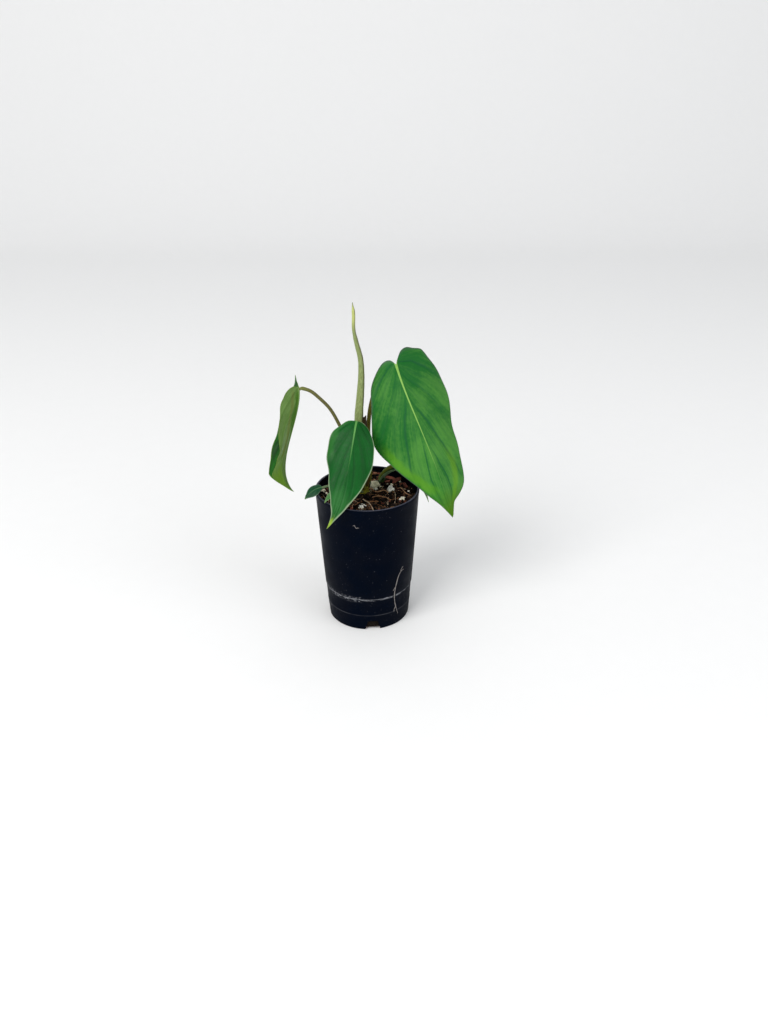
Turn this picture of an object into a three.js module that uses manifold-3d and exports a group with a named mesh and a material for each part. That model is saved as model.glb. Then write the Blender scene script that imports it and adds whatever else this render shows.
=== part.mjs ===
// A young philodendron in its small tapered nursery pot.
// Millimetres, +Z up. The origin is the middle of the pot's base, and the
// plant's best side faces -Y.

import * as THREE from 'three';
import { mergeVertices } from 'three/addons/utils/BufferGeometryUtils.js';
import Module from 'manifold-3d';

const wasm = await Module();
wasm.setup();

// Driving dimensions of the pot and of what fills it

const CLEARANCE = 0.3;

const POT = {
  height: 112.5,
  rimRadius: 41,
  footRadius: 33.6,
  wall: 1.2,
  lipWall: 1.8,
  lipHeight: 3,
  lipRound: 0.5,
  floor: 1.6,
  channelRise: 1.6,
  channelWall: 1,
  discRadius: 16,
  channelRadius: 27,
  footChamfer: 0.8,
  stepHeight: 30,
  stepDepth: 0.45,
  stepSlope: 0.6,
  sides: 48,
};

const NOTCH = {
  count: 4,
  firstTurn: 6,
  widthAtFoot: 13,
  widthAtTop: 8,
  height: 8.5,
  below: 1,
  innerRadius: 28,
  depth: 10,
};

const MIX = {
  level: 104.3,
  moundHeight: 1.6,
  moundRadius: 16,
  rings: 7,
  seed: 7,
};

// The surface's unevenness: waves with a height and a run along x and y
const RELIEF_WAVES = [
  { height: 0.45, alongX: 0.31, alongY: 0.27, shift: 1.3 },
  { height: 0.45, alongX: 0.31, alongY: -0.27, shift: 1.3 },
  { height: 0.55, alongX: 0.71, alongY: -0.53, shift: 0 },
  { height: 0.45, alongX: 0.2, alongY: 0.9, shift: 1.6 },
];

// Loose bits spread over the surface, outside the bare middle: pairs are the
// smallest and the largest, and a sunk bit sits lower than the surface
const PERLITE = {
  count: 8,
  spread: [13, 33],
  radius: [1.2, 2.5],
  flat: [0.7, 0.9],
  narrow: [0.75, 1],
  sunk: 0.25,
};
const CHIPS = {
  count: 10,
  spread: [13, 30],
  length: [5, 10],
  width: [1.8, 2.8],
  thickness: 1.4,
  tilt: 0.25,
  sunk: 0.3,
};

// Perlite lumps that stand out in the surface: x, y and radius
const PERLITE_SEEN = [
  [5.6, 14.2, 3.6],
  [18.3, 8.4, 3],
  [27.4, -7.4, 2.2],
  [-4.1, -20.4, 1.8],
  [-29.5, 18, 2.2],
  [-32, 4, 1.6],
];

// Driving dimensions of the stem and the roots in the mix

const CROWN = { x: -2.5, y: 4 };
const STEM = {
  foot: 72,
  top: 116,
  footRadius: 4.4,
  topRadius: 3.6,
  lean: 1,
  ringHeight: 0.5,
  ringSpacing: 4.6,
  ringsFrom: 98,
  sides: 12,
  steps: 12,
};

// The roots leave a crown under the stem. Each follows the same path of
// [share of its reach, share of its depth], and swings round as it goes.
const ROOTS = {
  count: 5,
  crownRadius: 3.6,
  crownLength: 14,
  radius: 1.5,
  taper: 0.35,
  firstTurn: 20,
  swing: 0.5,
  reach: 24,
  depth: [38, 50],
  path: [[0.25, 0.05], [0.6, 0.3], [0.8, 0.7], [0.75, 1]],
  seed: 3,
};

// The leaves' shared build: a rib under the midrib, pleats that follow the
// side veins as these sweep from the midrib towards the tip, and waves along
// the margin
const LEAF_THICKNESS = 0.8;
const RIB = { height: 0.7, start: 0.15 };
const PLEAT = {
  depth: 0.6,
  gain: 2.6,
  spacing: 0.25,
  sweep: 0.55,
  bend: 0.55,
  start: { left: -0.02, right: 0.03 },
  fade: 0.12,
};
const MARGIN_WAVES = { height: 0.7, count: 5 };

// How strongly the crosswise rows of a blade gather at its base
const ROW_GATHER = 1.5;

// Where a stalk ends: along the midrib from its start, and below the blade
const JOINT = { along: 1.5, below: 1.6 };

// How fast a stalk's clasp and its knee under the blade fade along it
const STALK_FADE = { clasp: 9, knee: 14 };

// Leaf blades. A blade is drawn flat first: half-widths across (x) and places
// along the midrib (y) on each side, from the notch where its stalk meets it
// to the tip. The flat blade is then laid along its midrib in space. Each half
// falls away from the midrib by its fold, in degrees, and rolls further by its
// curl over every rollWidth. Folds and curls are given at equal steps from the
// base to the tip, and negative ones rise towards the upper face.

const LEAVES = {
  right: {
    midrib: [[23, 8, 208], [31, -2, 182], [51, -26, 152], [65, -32, 102]],
    facing: [[-0.25, -0.8, 0.55], [-0.1, -0.9, 0.35]],
    rollWidth: 34,
    lobeDroop: 10,
    pleated: true,
    left: {
      outline: [[0, -1.5], [4, -6], [10, -5.5], [17, 0], [24, 7.5], [29, 19], [35, 31], [39.5, 45],
        [38, 57], [31, 70], [23, 84.5], [15, 96.5], [7, 108.5], [2.2, 117], [0, 121.5]],
      fold: [6, 6, 6],
      curl: [12, 14, 10],
    },
    right: {
      outline: [[0, -1.5], [2.5, -5.8], [6.6, -10.7], [12, -12.4], [18.5, -10.7], [25.2, -8.8], [27.7, -5.6],
        [30.4, 0.2], [36, 9.2], [38.8, 17.5], [39, 28], [35, 44], [29.5, 60], [26.5, 76], [23.8, 89],
        [19, 99.5], [12.3, 106], [6, 110.2], [3.4, 115], [1.3, 119.8], [0, 121.5]],
      fold: [38, 38, 32],
      curl: [14, 16, 10],
    },
    rows: 36,
    columns: 5,
    colour: 0x3a8a3c,
  },
  front: {
    midrib: [[-7, -8, 171], [-9, -21, 169], [-13.8, -37, 120.5], [-30, -50, 102]],
    facing: [[0.05, -0.85, 0.55], [-0.15, -0.8, 0.5]],
    rollWidth: 17,
    lobeDroop: 0,
    pleated: true,
    left: {
      outline: [[0, -0.6], [6, 0], [12, 4], [17, 10], [19.5, 20], [19.2, 30], [16, 41], [11.5, 54.5],
        [7, 65], [3, 72], [1.3, 79], [0, 85]],
      fold: [14, 12, 10],
      curl: [10, 12, 8],
    },
    right: {
      outline: [[0, -0.6], [5, -1.6], [10, 2.5], [14.5, 12], [17.5, 21], [17.8, 32], [15.5, 44],
        [10.5, 56.5], [5.5, 68], [2.2, 76.5], [0, 85]],
      fold: [14, 12, 10],
      curl: [10, 12, 8],
    },
    rows: 26,
    columns: 4,
    colour: 0x23693c,
  },
  left: {
    midrib: [[-50, 4, 192], [-50, 2, 168], [-74, 0, 130], [-58, 0, 109]],
    facing: [[-0.95, -0.25, 0], [-0.95, -0.35, 0]],
    rollWidth: 17,
    lobeDroop: 0,
    pleated: true,
    left: {
      outline: [[0, -1.5], [2.4, -4], [3.6, -7.5], [4.6, -10.2], [6.6, -6], [9.4, 0], [15, 5], [17.8, 12], [19, 22],
        [18.7, 32], [17.7, 42], [15.3, 51], [13.2, 60], [14, 67.3], [13.9, 70.5], [8.9, 74.8], [4.1, 79.8],
        [0, 86]],
      fold: [-16, -12, -16, -48, -58],
      curl: [-10, -8, -8, -13, -18],
    },
    right: {
      outline: [[0, -1.5], [5, -3], [11.5, 0], [14.5, 5], [17, 12], [17.9, 22], [17.6, 32], [17.3, 42],
        [13.2, 51], [11.8, 58], [16, 64.5], [12.2, 69.5], [7.1, 75], [2.7, 81], [0, 86]],
      fold: [-60, -45, -29, -46, -44],
      curl: [-12, -16, -16, -15, -13],
    },
    rows: 26,
    columns: 4,
    colour: 0x6f8f45,
  },
  small_left: {
    midrib: [[-34.7, -11, 118], [-40.2, -12.1, 117.8], [-44.7, -13.6, 114.3], [-48.1, -14.6, 109.5]],
    facing: [[-0.2, -0.5, 0.85], [-0.6, -0.6, 0.55]],
    rollWidth: 5,
    lobeDroop: 0,
    left: {
      outline: [[0, -0.4], [3, 1.5], [5.2, 5.8], [4.6, 10], [2.4, 13.8], [0, 17]],
      fold: [8, 8],
      curl: [8, 8],
    },
    right: {
      outline: [[0, -0.4], [2.6, 1.5], [4.8, 5.8], [4.4, 10], [2.3, 13.8], [0, 17]],
      fold: [8, 8],
      curl: [8, 8],
    },
    rows: 7,
    columns: 2,
    colour: 0x2b6b3c,
  },
  small_right: {
    midrib: [[9.5, 16.5, 109.3], [17, 17, 119], [33, 14, 134], [47.6, -14, 106]],
    facing: [[-0.5, -0.25, 0.8], [0.7, -0.6, 0.4]],
    rollWidth: 9,
    lobeDroop: 0,
    left: {
      outline: [[0, -0.5], [3, 2.6], [4.8, 9.3], [5.8, 20.6], [5.8, 33.9], [3.8, 46.3], [1.6, 54.5], [0, 61.2]],
      fold: [-58, -50, -40],
      curl: [-8, -8, -8],
    },
    right: {
      outline: [[0, -0.5], [3, 2.6], [4.8, 9.3], [5.8, 20.6], [5.8, 33.9], [3.8, 46.3], [1.6, 54.5], [0, 61.2]],
      fold: [-58, -50, -40],
      curl: [-8, -8, -8],
    },
    rows: 12,
    columns: 2,
    colour: 0x2c6b36,
  },
  small_front: {
    midrib: [[-19.3, -15.3, 117], [-24, -19.5, 119.5], [-29, -24, 118.5], [-32, -27.2, 112.4]],
    facing: [[-0.2, -0.2, 0.95], [-0.5, -0.5, 0.7]],
    rollWidth: 4,
    lobeDroop: 0,
    left: {
      outline: [[0, -0.4], [2.4, 1.5], [3.8, 7], [2.8, 13], [1.2, 16.8], [0, 19.5]],
      fold: [12, 12],
      curl: [6, 6],
    },
    right: {
      outline: [[0, -0.4], [2.4, 1.5], [3.8, 7], [2.8, 13], [1.2, 16.8], [0, 19.5]],
      fold: [12, 12],
      curl: [6, 6],
    },
    rows: 7,
    columns: 2,
    colour: 0x5f9350,
  },
};

// The dried sheath that the newest leaf grew out of, drawn as the blades are
const DRY_SHEATH = {
  midrib: [[0.6, 1.8, 111], [2.4, 0.7, 132], [0.6, 2.4, 152], [-1.4, 3.6, 170]],
  facing: [[0.75, -0.65, 0], [0.8, -0.6, 0]],
  rollWidth: 3,
  lobeDroop: 0,
  left: {
    outline: [[0, -0.3], [2.2, 0.5], [2.6, 10], [2.6, 34], [4.4, 50], [5, 57], [4, 60.3], [0, 61]],
    fold: [14, 14],
    curl: [16, 16],
  },
  right: {
    outline: [[0, -0.3], [2.2, 0.5], [2.6, 12], [2.4, 34], [2, 48], [1.8, 57], [1.2, 60.3], [0, 61]],
    fold: [14, 14],
    curl: [16, 16],
  },
  rows: 12,
  columns: 1,
  colour: 0x4a2c18,
};

// Leaf stalks: the points that each follows from the middle of the stem up to
// its blade, and its radius where it clasps the stem, along its length and at
// the joint under the blade
const STALKS = {
  right: {
    path: [[-2.5, 4, 110.5], [1.2, 8.8, 115.5], [2.2, 10.8, 125], [1.8, 11.5, 141], [1.3, 12.5, 157],
      [2.7, 13.8, 172], [5.6, 15.3, 184], [10, 16.6, 195.5], [15.2, 16.2, 202.5], [20.2, 13.4, 206]],
    radii: [2.3, 1.8, 1.4, 1.8],
    steps: 18,
    colour: 0x6b6a2e,
  },
  front: {
    path: [[-2.5, 4, 109.5], [-3.4, -1.6, 114], [-3.4, -3.6, 125], [-3.6, -4.1, 142], [-4.6, -4.2, 157],
      [-6.3, -6.2, 166]],
    radii: [2, 1.4, 1.3, 1.5],
    steps: 10,
    colour: 0x6d7434,
  },
  left: {
    path: [[-2.5, 4, 110.5], [-7.4, 6.4, 115], [-9.6, 6.8, 125], [-14, 7.5, 144], [-21.5, 8, 163.4],
      [-27.6, 8, 175.1], [-34.7, 7, 183.6], [-42, 6, 190.2]],
    radii: [2.1, 1.35, 1.3, 1.5],
    steps: 16,
    colour: 0x6a6532,
  },
  small_left: {
    path: [[-2.5, 4, 107.5], [-8.5, 1.8, 112], [-16, -2.5, 116.5], [-26, -8, 118.5]],
    radii: [1.7, 1, 0.9, 0.9],
    steps: 8,
    colour: 0x74804a,
  },
  small_right: {
    path: [[-2.5, 4, 107.5], [0.3, 10, 108.6], [4, 15.8, 108.8]],
    radii: [1.7, 1.4, 1.3, 1.3],
    steps: 6,
    colour: 0x6b7a36,
  },
  small_front: {
    path: [[-2.5, 4, 106.8], [-6, -2, 110], [-13, -9, 114]],
    radii: [1.6, 1, 0.9, 0.9],
    steps: 7,
    colour: 0x74804a,
  },
};
const STALK_SIDES = 8;

// The newest leaf, still rolled up, on its own pale stalk
const ROLLED_LEAF = {
  path: [[-2.5, 4, 116.6], [-3.4, 4.4, 130], [-5.6, 5, 155], [-5.5, 5, 170], [-4.2, 5, 188], [-3.3, 5, 204],
    [-3.7, 5, 215], [-6.4, 5, 227], [-8.2, 5, 237], [-8.1, 5, 248], [-8.7, 5, 256.5]],
  radii: [2.4, 2.45, 2.5, 2.75, 3, 3.3, 3.5, 3.5, 3.4, 3.1, 2.85, 2.6, 2.35, 2.15, 1.95, 1.8, 1.6, 1.25, 1.2,
    1.2, 0.25],
  lap: 0.13,
  turns: 1.1,
  sides: 10,
  steps: 24,
  colour: 0x97a866,
};

// Small tools: random draws, values along a length, and joining and cutting

function seededRandom(seed) {
  let state = seed;
  return () => {
    state = (state * 1664525 + 1013904223) % 4294967296;
    return state / 4294967296;
  };
}

function between([low, high], random) {
  return THREE.MathUtils.lerp(low, high, random());
}

function vector(point) {
  return new THREE.Vector3(...point);
}

// A value that eases through the given ones, spaced evenly from s = 0 to 1
function along(values, s) {
  const place = THREE.MathUtils.clamp(s, 0, 1) * (values.length - 1);
  const index = Math.min(Math.floor(place), values.length - 2);
  const ease = (1 - Math.cos(Math.PI * (place - index))) / 2;
  return THREE.MathUtils.lerp(values[index], values[index + 1], ease);
}

// Keeps only positions, joins the shared ones and drops flat triangles
function weld(geometry) {
  const bare = geometry.clone();
  bare.deleteAttribute('normal');
  bare.deleteAttribute('uv');
  const welded = mergeVertices(bare, 1e-4);
  const index = welded.index.array;
  const kept = [];
  for (let i = 0; i < index.length; i += 3) {
    const [a, b, c] = [index[i], index[i + 1], index[i + 2]];
    if (a !== b && b !== c && c !== a) {
      kept.push(a, b, c);
    }
  }
  welded.setIndex(kept);
  return welded;
}

function toSolid(geometry) {
  const welded = weld(geometry);
  return new wasm.Manifold(new wasm.Mesh({
    numProp: 3,
    vertProperties: new Float32Array(welded.attributes.position.array),
    triVerts: new Uint32Array(welded.index.array),
  }));
}

function toGeometry(solid) {
  const mesh = solid.getMesh();
  const geometry = new THREE.BufferGeometry();
  geometry.setAttribute('position', new THREE.BufferAttribute(new Float32Array(mesh.vertProperties), 3));
  geometry.setIndex(Array.from(mesh.triVerts));
  return geometry;
}

function joined(solids) {
  return solids.reduce((whole, next) => whole.add(next));
}

function cutBy(solid, tools) {
  return tools.reduce((rest, tool) => rest.subtract(tool), solid);
}

// A body turned round the upright axis from its [radius, height] profile
function turned(profile, sides) {
  const points = profile.map(([radius, height]) => new THREE.Vector2(radius, height));
  return new THREE.LatheGeometry(points, sides).rotateX(Math.PI / 2);
}

// A round stalk along a smooth line. Its radius comes from radiusAt(s), its
// section from sectionAt(turn, s), and grow makes it larger on every side.
function stalk(path, radiusAt, sides, steps, grow = 0, sectionAt = () => 1) {
  const line = new THREE.CatmullRomCurve3(path.map(vector), false, 'centripetal');
  const frames = line.computeFrenetFrames(steps, false);
  const tube = new THREE.CylinderGeometry(1, 1, 1, sides, steps);
  const position = tube.attributes.position;
  for (let i = 0; i < position.count; i += 1) {
    const step = Math.round((position.getY(i) + 0.5) * steps);
    const s = step / steps;
    const [across, out] = [position.getX(i), position.getZ(i)];
    const turn = (Math.atan2(across, out) / (2 * Math.PI) + 1) % 1;
    const radius = radiusAt(s) * sectionAt(turn, s) + grow;
    const end = step === 0 ? -grow : step === steps ? grow : 0;
    const point = line.getPointAt(s)
      .addScaledVector(frames.tangents[step], end)
      .addScaledVector(frames.normals[step], across * radius)
      .addScaledVector(frames.binormals[step], -out * radius);
    position.setXYZ(i, point.x, point.y, point.z);
  }
  return tube;
}

// Leaf blades

// Gives place(x, y, lift): the point of a flat blade's x and y in space,
// lifted off the blade's middle surface
function bladeSurface(leaf) {
  const midrib = new THREE.CubicBezierCurve3(...leaf.midrib.map(vector));
  const length = midrib.getLength();
  const [baseFacing, tipFacing] = leaf.facing.map((facing) => vector(facing).normalize());
  const droop = THREE.MathUtils.degToRad(leaf.lobeDroop);
  return (x, y, lift) => {
    const s = THREE.MathUtils.clamp(y / length, 0, 1);
    const forward = midrib.getTangentAt(s);
    const facing = baseFacing.clone().lerp(tipFacing, s).normalize();
    const sideways = facing.clone().cross(forward).normalize();
    const up = forward.clone().cross(sideways);
    const half = x > 0 ? leaf.right : leaf.left;
    const fold = THREE.MathUtils.degToRad(along(half.fold, s));
    const roll = THREE.MathUtils.degToRad(along(half.curl, s)) / leaf.rollWidth;
    const slope = fold + roll * Math.abs(x);
    const out = (Math.sin(slope) - Math.sin(fold)) / roll;
    const rise = (Math.cos(slope) - Math.cos(fold)) / roll;
    const tilt = slope * Math.min(Math.abs(x) / (2 * LEAF_THICKNESS), 1);
    const behind = Math.min(y, 0);
    return midrib.getPointAt(s)
      .addScaledVector(forward, behind * Math.cos(droop))
      .addScaledVector(up, behind * Math.sin(droop) + rise + lift * Math.cos(tilt))
      .addScaledVector(sideways, Math.sign(x) * (out + lift * Math.sin(tilt)));
  };
}

// How far the pleats and the margin's waves lift a blade at u along it and v
// across. Both fade out towards the base and the tip.
function relief(u, v) {
  const start = v > 0 ? PLEAT.start.right : PLEAT.start.left;
  const phase = (u - start - PLEAT.sweep * Math.abs(v) ** PLEAT.bend) / PLEAT.spacing;
  const share = PLEAT.gain * Math.abs(v) * (1 - v * v);
  const pleats = PLEAT.depth * share * (1 - Math.cos(2 * Math.PI * phase)) / 2;
  const waves = MARGIN_WAVES.height * v ** 4 * Math.sin(2 * Math.PI * MARGIN_WAVES.count * u);
  return (pleats + waves) * Math.min(u / PLEAT.fade, (1 - u) / PLEAT.fade, 1);
}

// A thin closed blade: the same grid above and below, and a strip round its edge
function blade(leaf, grow = 0) {
  const place = bladeSurface(leaf);
  const { rows, columns } = leaf;
  const across = 2 * columns + 1;
  const count = across * (rows + 1);
  const edges = [leaf.left, leaf.right].map(
    (half) => new THREE.SplineCurve(half.outline.map(([x, y]) => new THREE.Vector2(x, y))),
  );
  const [first] = leaf.left.outline;
  const last = leaf.left.outline[leaf.left.outline.length - 1];
  const grid = new THREE.PlaneGeometry(1, 1, 2 * columns, rows);
  const positions = new Float32Array(count * 6);
  for (let i = 0; i < count; i += 1) {
    const u = Math.floor(i / across) / rows;
    const v = ((i % across) - columns) / columns;
    const edge = edges[v > 0 ? 1 : 0].getPointAt(u);
    const middle = THREE.MathUtils.lerp(first[1], last[1], u ** ROW_GATHER);
    const x = v * (edge.x + grow);
    const y = THREE.MathUtils.lerp(middle, edge.y, Math.abs(v)) - grow * (1 - 2 * u);
    const rib = v === 0 ? RIB.height * Math.sin(Math.PI * Math.min(u + RIB.start, 1)) : 0;
    const half = LEAF_THICKNESS / 2 + grow;
    const lift = leaf.pleated ? relief(u, v) : 0;
    place(x, y, lift + half).toArray(positions, 3 * i);
    place(x, y, lift - half - rib).toArray(positions, 3 * (i + count));
  }
  const above = Array.from(grid.index.array);
  const below = [];
  for (let i = 0; i < above.length; i += 3) {
    below.push(above[i + 2] + count, above[i + 1] + count, above[i] + count);
  }
  const border = [];
  for (let row = 0; row < rows; row += 1) border.push(row * across);
  for (let column = 0; column < across - 1; column += 1) border.push(rows * across + column);
  for (let row = rows; row > 0; row -= 1) border.push(row * across + across - 1);
  for (let column = across - 1; column > 0; column -= 1) border.push(column);
  const rim = border.flatMap((from, i) => {
    const to = border[(i + 1) % border.length];
    return [to, from, from + count, to, from + count, to + count];
  });
  const geometry = new THREE.BufferGeometry();
  geometry.setAttribute('position', new THREE.BufferAttribute(positions, 3));
  geometry.setIndex([...above, ...below, ...rim]);
  return weld(geometry);
}

// The pot

function potRadius(height) {
  const outer = THREE.MathUtils.lerp(POT.footRadius, POT.rimRadius, height / POT.height);
  return height < POT.stepHeight ? outer - POT.stepDepth : outer;
}

// Inner profile from the axis outwards and up, drawn in by a gap
function potInside(gap, top) {
  const { floor, channelRise, discRadius, channelRadius, wall, stepHeight, stepSlope } = POT;
  const wallInside = (height) => potRadius(height) - wall - gap;
  return [
    [0, floor + gap],
    [discRadius, floor + gap],
    [discRadius + channelRise, floor + channelRise + gap],
    [channelRadius - channelRise, floor + channelRise + gap],
    [channelRadius, floor + gap],
    [wallInside(floor), floor + gap],
    [wallInside(stepHeight - stepSlope), stepHeight - stepSlope],
    [wallInside(stepHeight), stepHeight + stepSlope],
    [wallInside(top), top],
  ];
}

function makePot() {
  const { height, rimRadius, lipWall, lipRound, channelRise, channelWall, footChamfer } = POT;
  const { stepHeight, stepSlope } = POT;
  const lipFoot = height - POT.lipHeight;
  const discEdge = POT.discRadius + channelWall;
  const channelEdge = POT.channelRadius - channelWall;
  const outside = [
    [0, 0],
    [discEdge, 0],
    [discEdge + channelRise, channelRise],
    [channelEdge - channelRise, channelRise],
    [channelEdge, 0],
    [potRadius(0) - footChamfer, 0],
    [potRadius(0), footChamfer],
    [potRadius(stepHeight - stepSlope), stepHeight - stepSlope],
    [potRadius(stepHeight), stepHeight],
    [potRadius(lipFoot), lipFoot],
    [rimRadius, height - lipRound],
    [rimRadius - lipRound, height],
    [rimRadius - lipWall + lipRound, height],
    [rimRadius - lipWall, height - lipRound],
  ];
  const inside = potInside(0, lipFoot).reverse();
  const shell = toSolid(turned([...outside, ...inside], POT.sides));
  const half = [NOTCH.widthAtFoot / 2, NOTCH.widthAtTop / 2];
  const outline = new THREE.Shape([
    new THREE.Vector2(-half[0], -NOTCH.below),
    new THREE.Vector2(half[0], -NOTCH.below),
    new THREE.Vector2(half[1], NOTCH.height),
    new THREE.Vector2(-half[1], NOTCH.height),
  ]);
  const notches = Array.from({ length: NOTCH.count }, (_, i) => {
    const turn = NOTCH.firstTurn + (360 / NOTCH.count) * i;
    return toSolid(new THREE.ExtrudeGeometry(outline, { depth: NOTCH.depth, bevelEnabled: false })
      .rotateX(Math.PI / 2)
      .translate(0, -NOTCH.innerRadius, 0)
      .rotateZ(THREE.MathUtils.degToRad(turn)));
  });
  return cutBy(shell, notches);
}

// The potting mix

function mixHeight(x, y) {
  const mound = MIX.moundHeight * Math.exp(-(Math.hypot(x, y - CROWN.y) ** 2) / MIX.moundRadius ** 2);
  return RELIEF_WAVES.reduce(
    (height, wave) => height + wave.height * Math.sin(wave.alongX * x + wave.alongY * y + wave.shift),
    MIX.level + mound,
  );
}

function perliteLump(x, y, radius, random) {
  return toSolid(new THREE.IcosahedronGeometry(radius, 0)
    .scale(1, between(PERLITE.narrow, random), between(PERLITE.flat, random))
    .rotateZ(Math.PI * random())
    .translate(x, y, mixHeight(x, y) - PERLITE.sunk * radius));
}

function barkChip(x, y, random) {
  const [length, width] = [between(CHIPS.length, random), between(CHIPS.width, random)];
  return toSolid(new THREE.BoxGeometry(length, width, CHIPS.thickness)
    .rotateY(between([-CHIPS.tilt, CHIPS.tilt], random))
    .rotateZ(Math.PI * random())
    .translate(x, y, mixHeight(x, y) - CHIPS.sunk));
}

// A random place on the surface between two distances from its middle
function scatter(spread, random) {
  const turn = 2 * Math.PI * random();
  const radius = THREE.MathUtils.lerp(...spread, Math.sqrt(random()));
  return [radius * Math.cos(turn), radius * Math.sin(turn)];
}

function makeMix(holes) {
  const edge = potRadius(MIX.level) - POT.wall - CLEARANCE;
  const rings = Array.from({ length: MIX.rings }, (_, i) => [edge * (1 - (i + 1) / MIX.rings), MIX.level]);
  const profile = [...potInside(CLEARANCE, MIX.level - 3), [edge, MIX.level], ...rings];
  const body = turned(profile, POT.sides);
  const position = body.attributes.position;
  for (let i = 0; i < position.count; i += 1) {
    if (position.getZ(i) > MIX.level - 0.01) {
      position.setZ(i, mixHeight(position.getX(i), position.getY(i)));
    }
  }
  const random = seededRandom(MIX.seed);
  const bits = PERLITE_SEEN.map(([x, y, radius]) => perliteLump(x, y, radius, random));
  for (let i = 0; i < PERLITE.count; i += 1) {
    bits.push(perliteLump(...scatter(PERLITE.spread, random), between(PERLITE.radius, random), random));
  }
  for (let i = 0; i < CHIPS.count; i += 1) {
    bits.push(barkChip(...scatter(CHIPS.spread, random), random));
  }
  return cutBy(joined([toSolid(body), ...bits]), holes);
}

// The stem and its roots

function makeStem(grow = 0) {
  const { foot, top, footRadius, topRadius, lean, ringHeight, ringSpacing, ringsFrom, sides, steps } = STEM;
  const radiusAt = (s) => {
    const height = THREE.MathUtils.lerp(foot, top, s);
    const wave = Math.max(0, Math.sin((2 * Math.PI * height) / ringSpacing));
    const ring = height > ringsFrom && s < 1 ? ringHeight * wave : 0;
    return THREE.MathUtils.lerp(footRadius, topRadius, s) + ring;
  };
  const path = [[CROWN.x - lean, CROWN.y + lean, foot],
    [CROWN.x - lean / 2, CROWN.y + lean / 2, (foot + top) / 2],
    [CROWN.x, CROWN.y, top]];
  return toSolid(stalk(path, radiusAt, sides, steps, grow));
}

function makeRoots(grow = 0) {
  const { count, crownRadius, crownLength, radius, taper, firstTurn, swing, reach, depth } = ROOTS;
  const [x, y, top] = [CROWN.x - STEM.lean, CROWN.y + STEM.lean, STEM.foot - CLEARANCE];
  const random = seededRandom(ROOTS.seed);
  const crown = stalk([[x, y, top], [x, y, top - crownLength / 2], [x, y, top - crownLength]],
    (s) => crownRadius * (1 - s * s / 2), 7, 3, grow);
  const roots = Array.from({ length: count }, (_, i) => {
    const turn = THREE.MathUtils.degToRad(firstTurn + (360 / count) * i);
    const drop = between(depth, random);
    const run = ROOTS.path.map(([out, down]) => [
      x + reach * out * Math.cos(turn + swing * out),
      y + reach * out * Math.sin(turn + swing * out),
      top - crownLength / 2 - down * drop,
    ]);
    return stalk([[x, y, top - crownLength / 2], ...run], (s) => radius * (1 - taper * s), 5, 6, grow);
  });
  return joined([crown, ...roots].map(toSolid));
}

// The stalks, the rolled leaf and the dried sheath

function stalkRadius(radii) {
  const [clasp, lower, upper, joint] = radii;
  return (s) => {
    const length = THREE.MathUtils.lerp(lower, upper, s);
    const foot = (clasp - lower) * Math.exp(-s * STALK_FADE.clasp);
    const knee = (joint - upper) * Math.exp(-(1 - s) * STALK_FADE.knee);
    return length + foot + knee;
  };
}

function makeStalk(name, holes) {
  const { path, radii, steps } = STALKS[name];
  const joint = bladeSurface(LEAVES[name])(0, JOINT.along, -JOINT.below).toArray();
  const whole = toSolid(stalk([...path, joint], stalkRadius(radii), STALK_SIDES, steps));
  return cutBy(whole, [...holes, toSolid(blade(LEAVES[name], CLEARANCE))]);
}

function makeRolledLeaf() {
  const { path, radii, lap, turns, sides, steps } = ROLLED_LEAF;
  const section = (turn, s) => 1 + lap * (((turn + turns * s) % 1) - 0.5);
  return stalk(path, (s) => along(radii, s), sides, steps, 0, section);
}

// The whole plant in its pot

const plant = new THREE.Group();

function addPiece(name, geometry, colour, roughness) {
  geometry.computeVertexNormals();
  const material = new THREE.MeshStandardMaterial({ color: colour, roughness, metalness: 0 });
  const mesh = new THREE.Mesh(geometry, material);
  mesh.name = name;
  plant.add(mesh);
}

const stemHole = makeStem(CLEARANCE);

addPiece('pot', toGeometry(makePot()), 0x14161b, 0.45);
addPiece('potting_mix', toGeometry(makeMix([stemHole, makeRoots(CLEARANCE)])), 0x2e2018, 0.95);
addPiece('stem', toGeometry(makeStem()), 0x6f7038, 0.6);
addPiece('roots', toGeometry(makeRoots()), 0xa89872, 0.8);
addPiece('rolled_leaf', makeRolledLeaf(), ROLLED_LEAF.colour, 0.5);
addPiece('dry_sheath', toGeometry(toSolid(blade(DRY_SHEATH)).subtract(stemHole)), DRY_SHEATH.colour, 0.8);
for (const [name, leaf] of Object.entries(LEAVES)) {
  addPiece(`blade_${name}`, blade(leaf), leaf.colour, 0.4);
  addPiece(`petiole_${name}`, toGeometry(makeStalk(name, [stemHole])), STALKS[name].colour, 0.5);
}

export default plant;
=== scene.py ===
"""The looks of a young philodendron in its small tapered nursery pot.

Everything is modelled in millimetres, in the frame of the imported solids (+Z up,
the origin in the middle of the pot's base, the best side towards -Y), and is
scaled to metres as its vertices are placed.
"""

import logging
import math
import random
from collections.abc import Callable, Sequence
from dataclasses import dataclass
from enum import Enum
from typing import ClassVar

import bpy
import numpy as np
from mathutils import Euler, Matrix, Vector, noise


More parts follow.
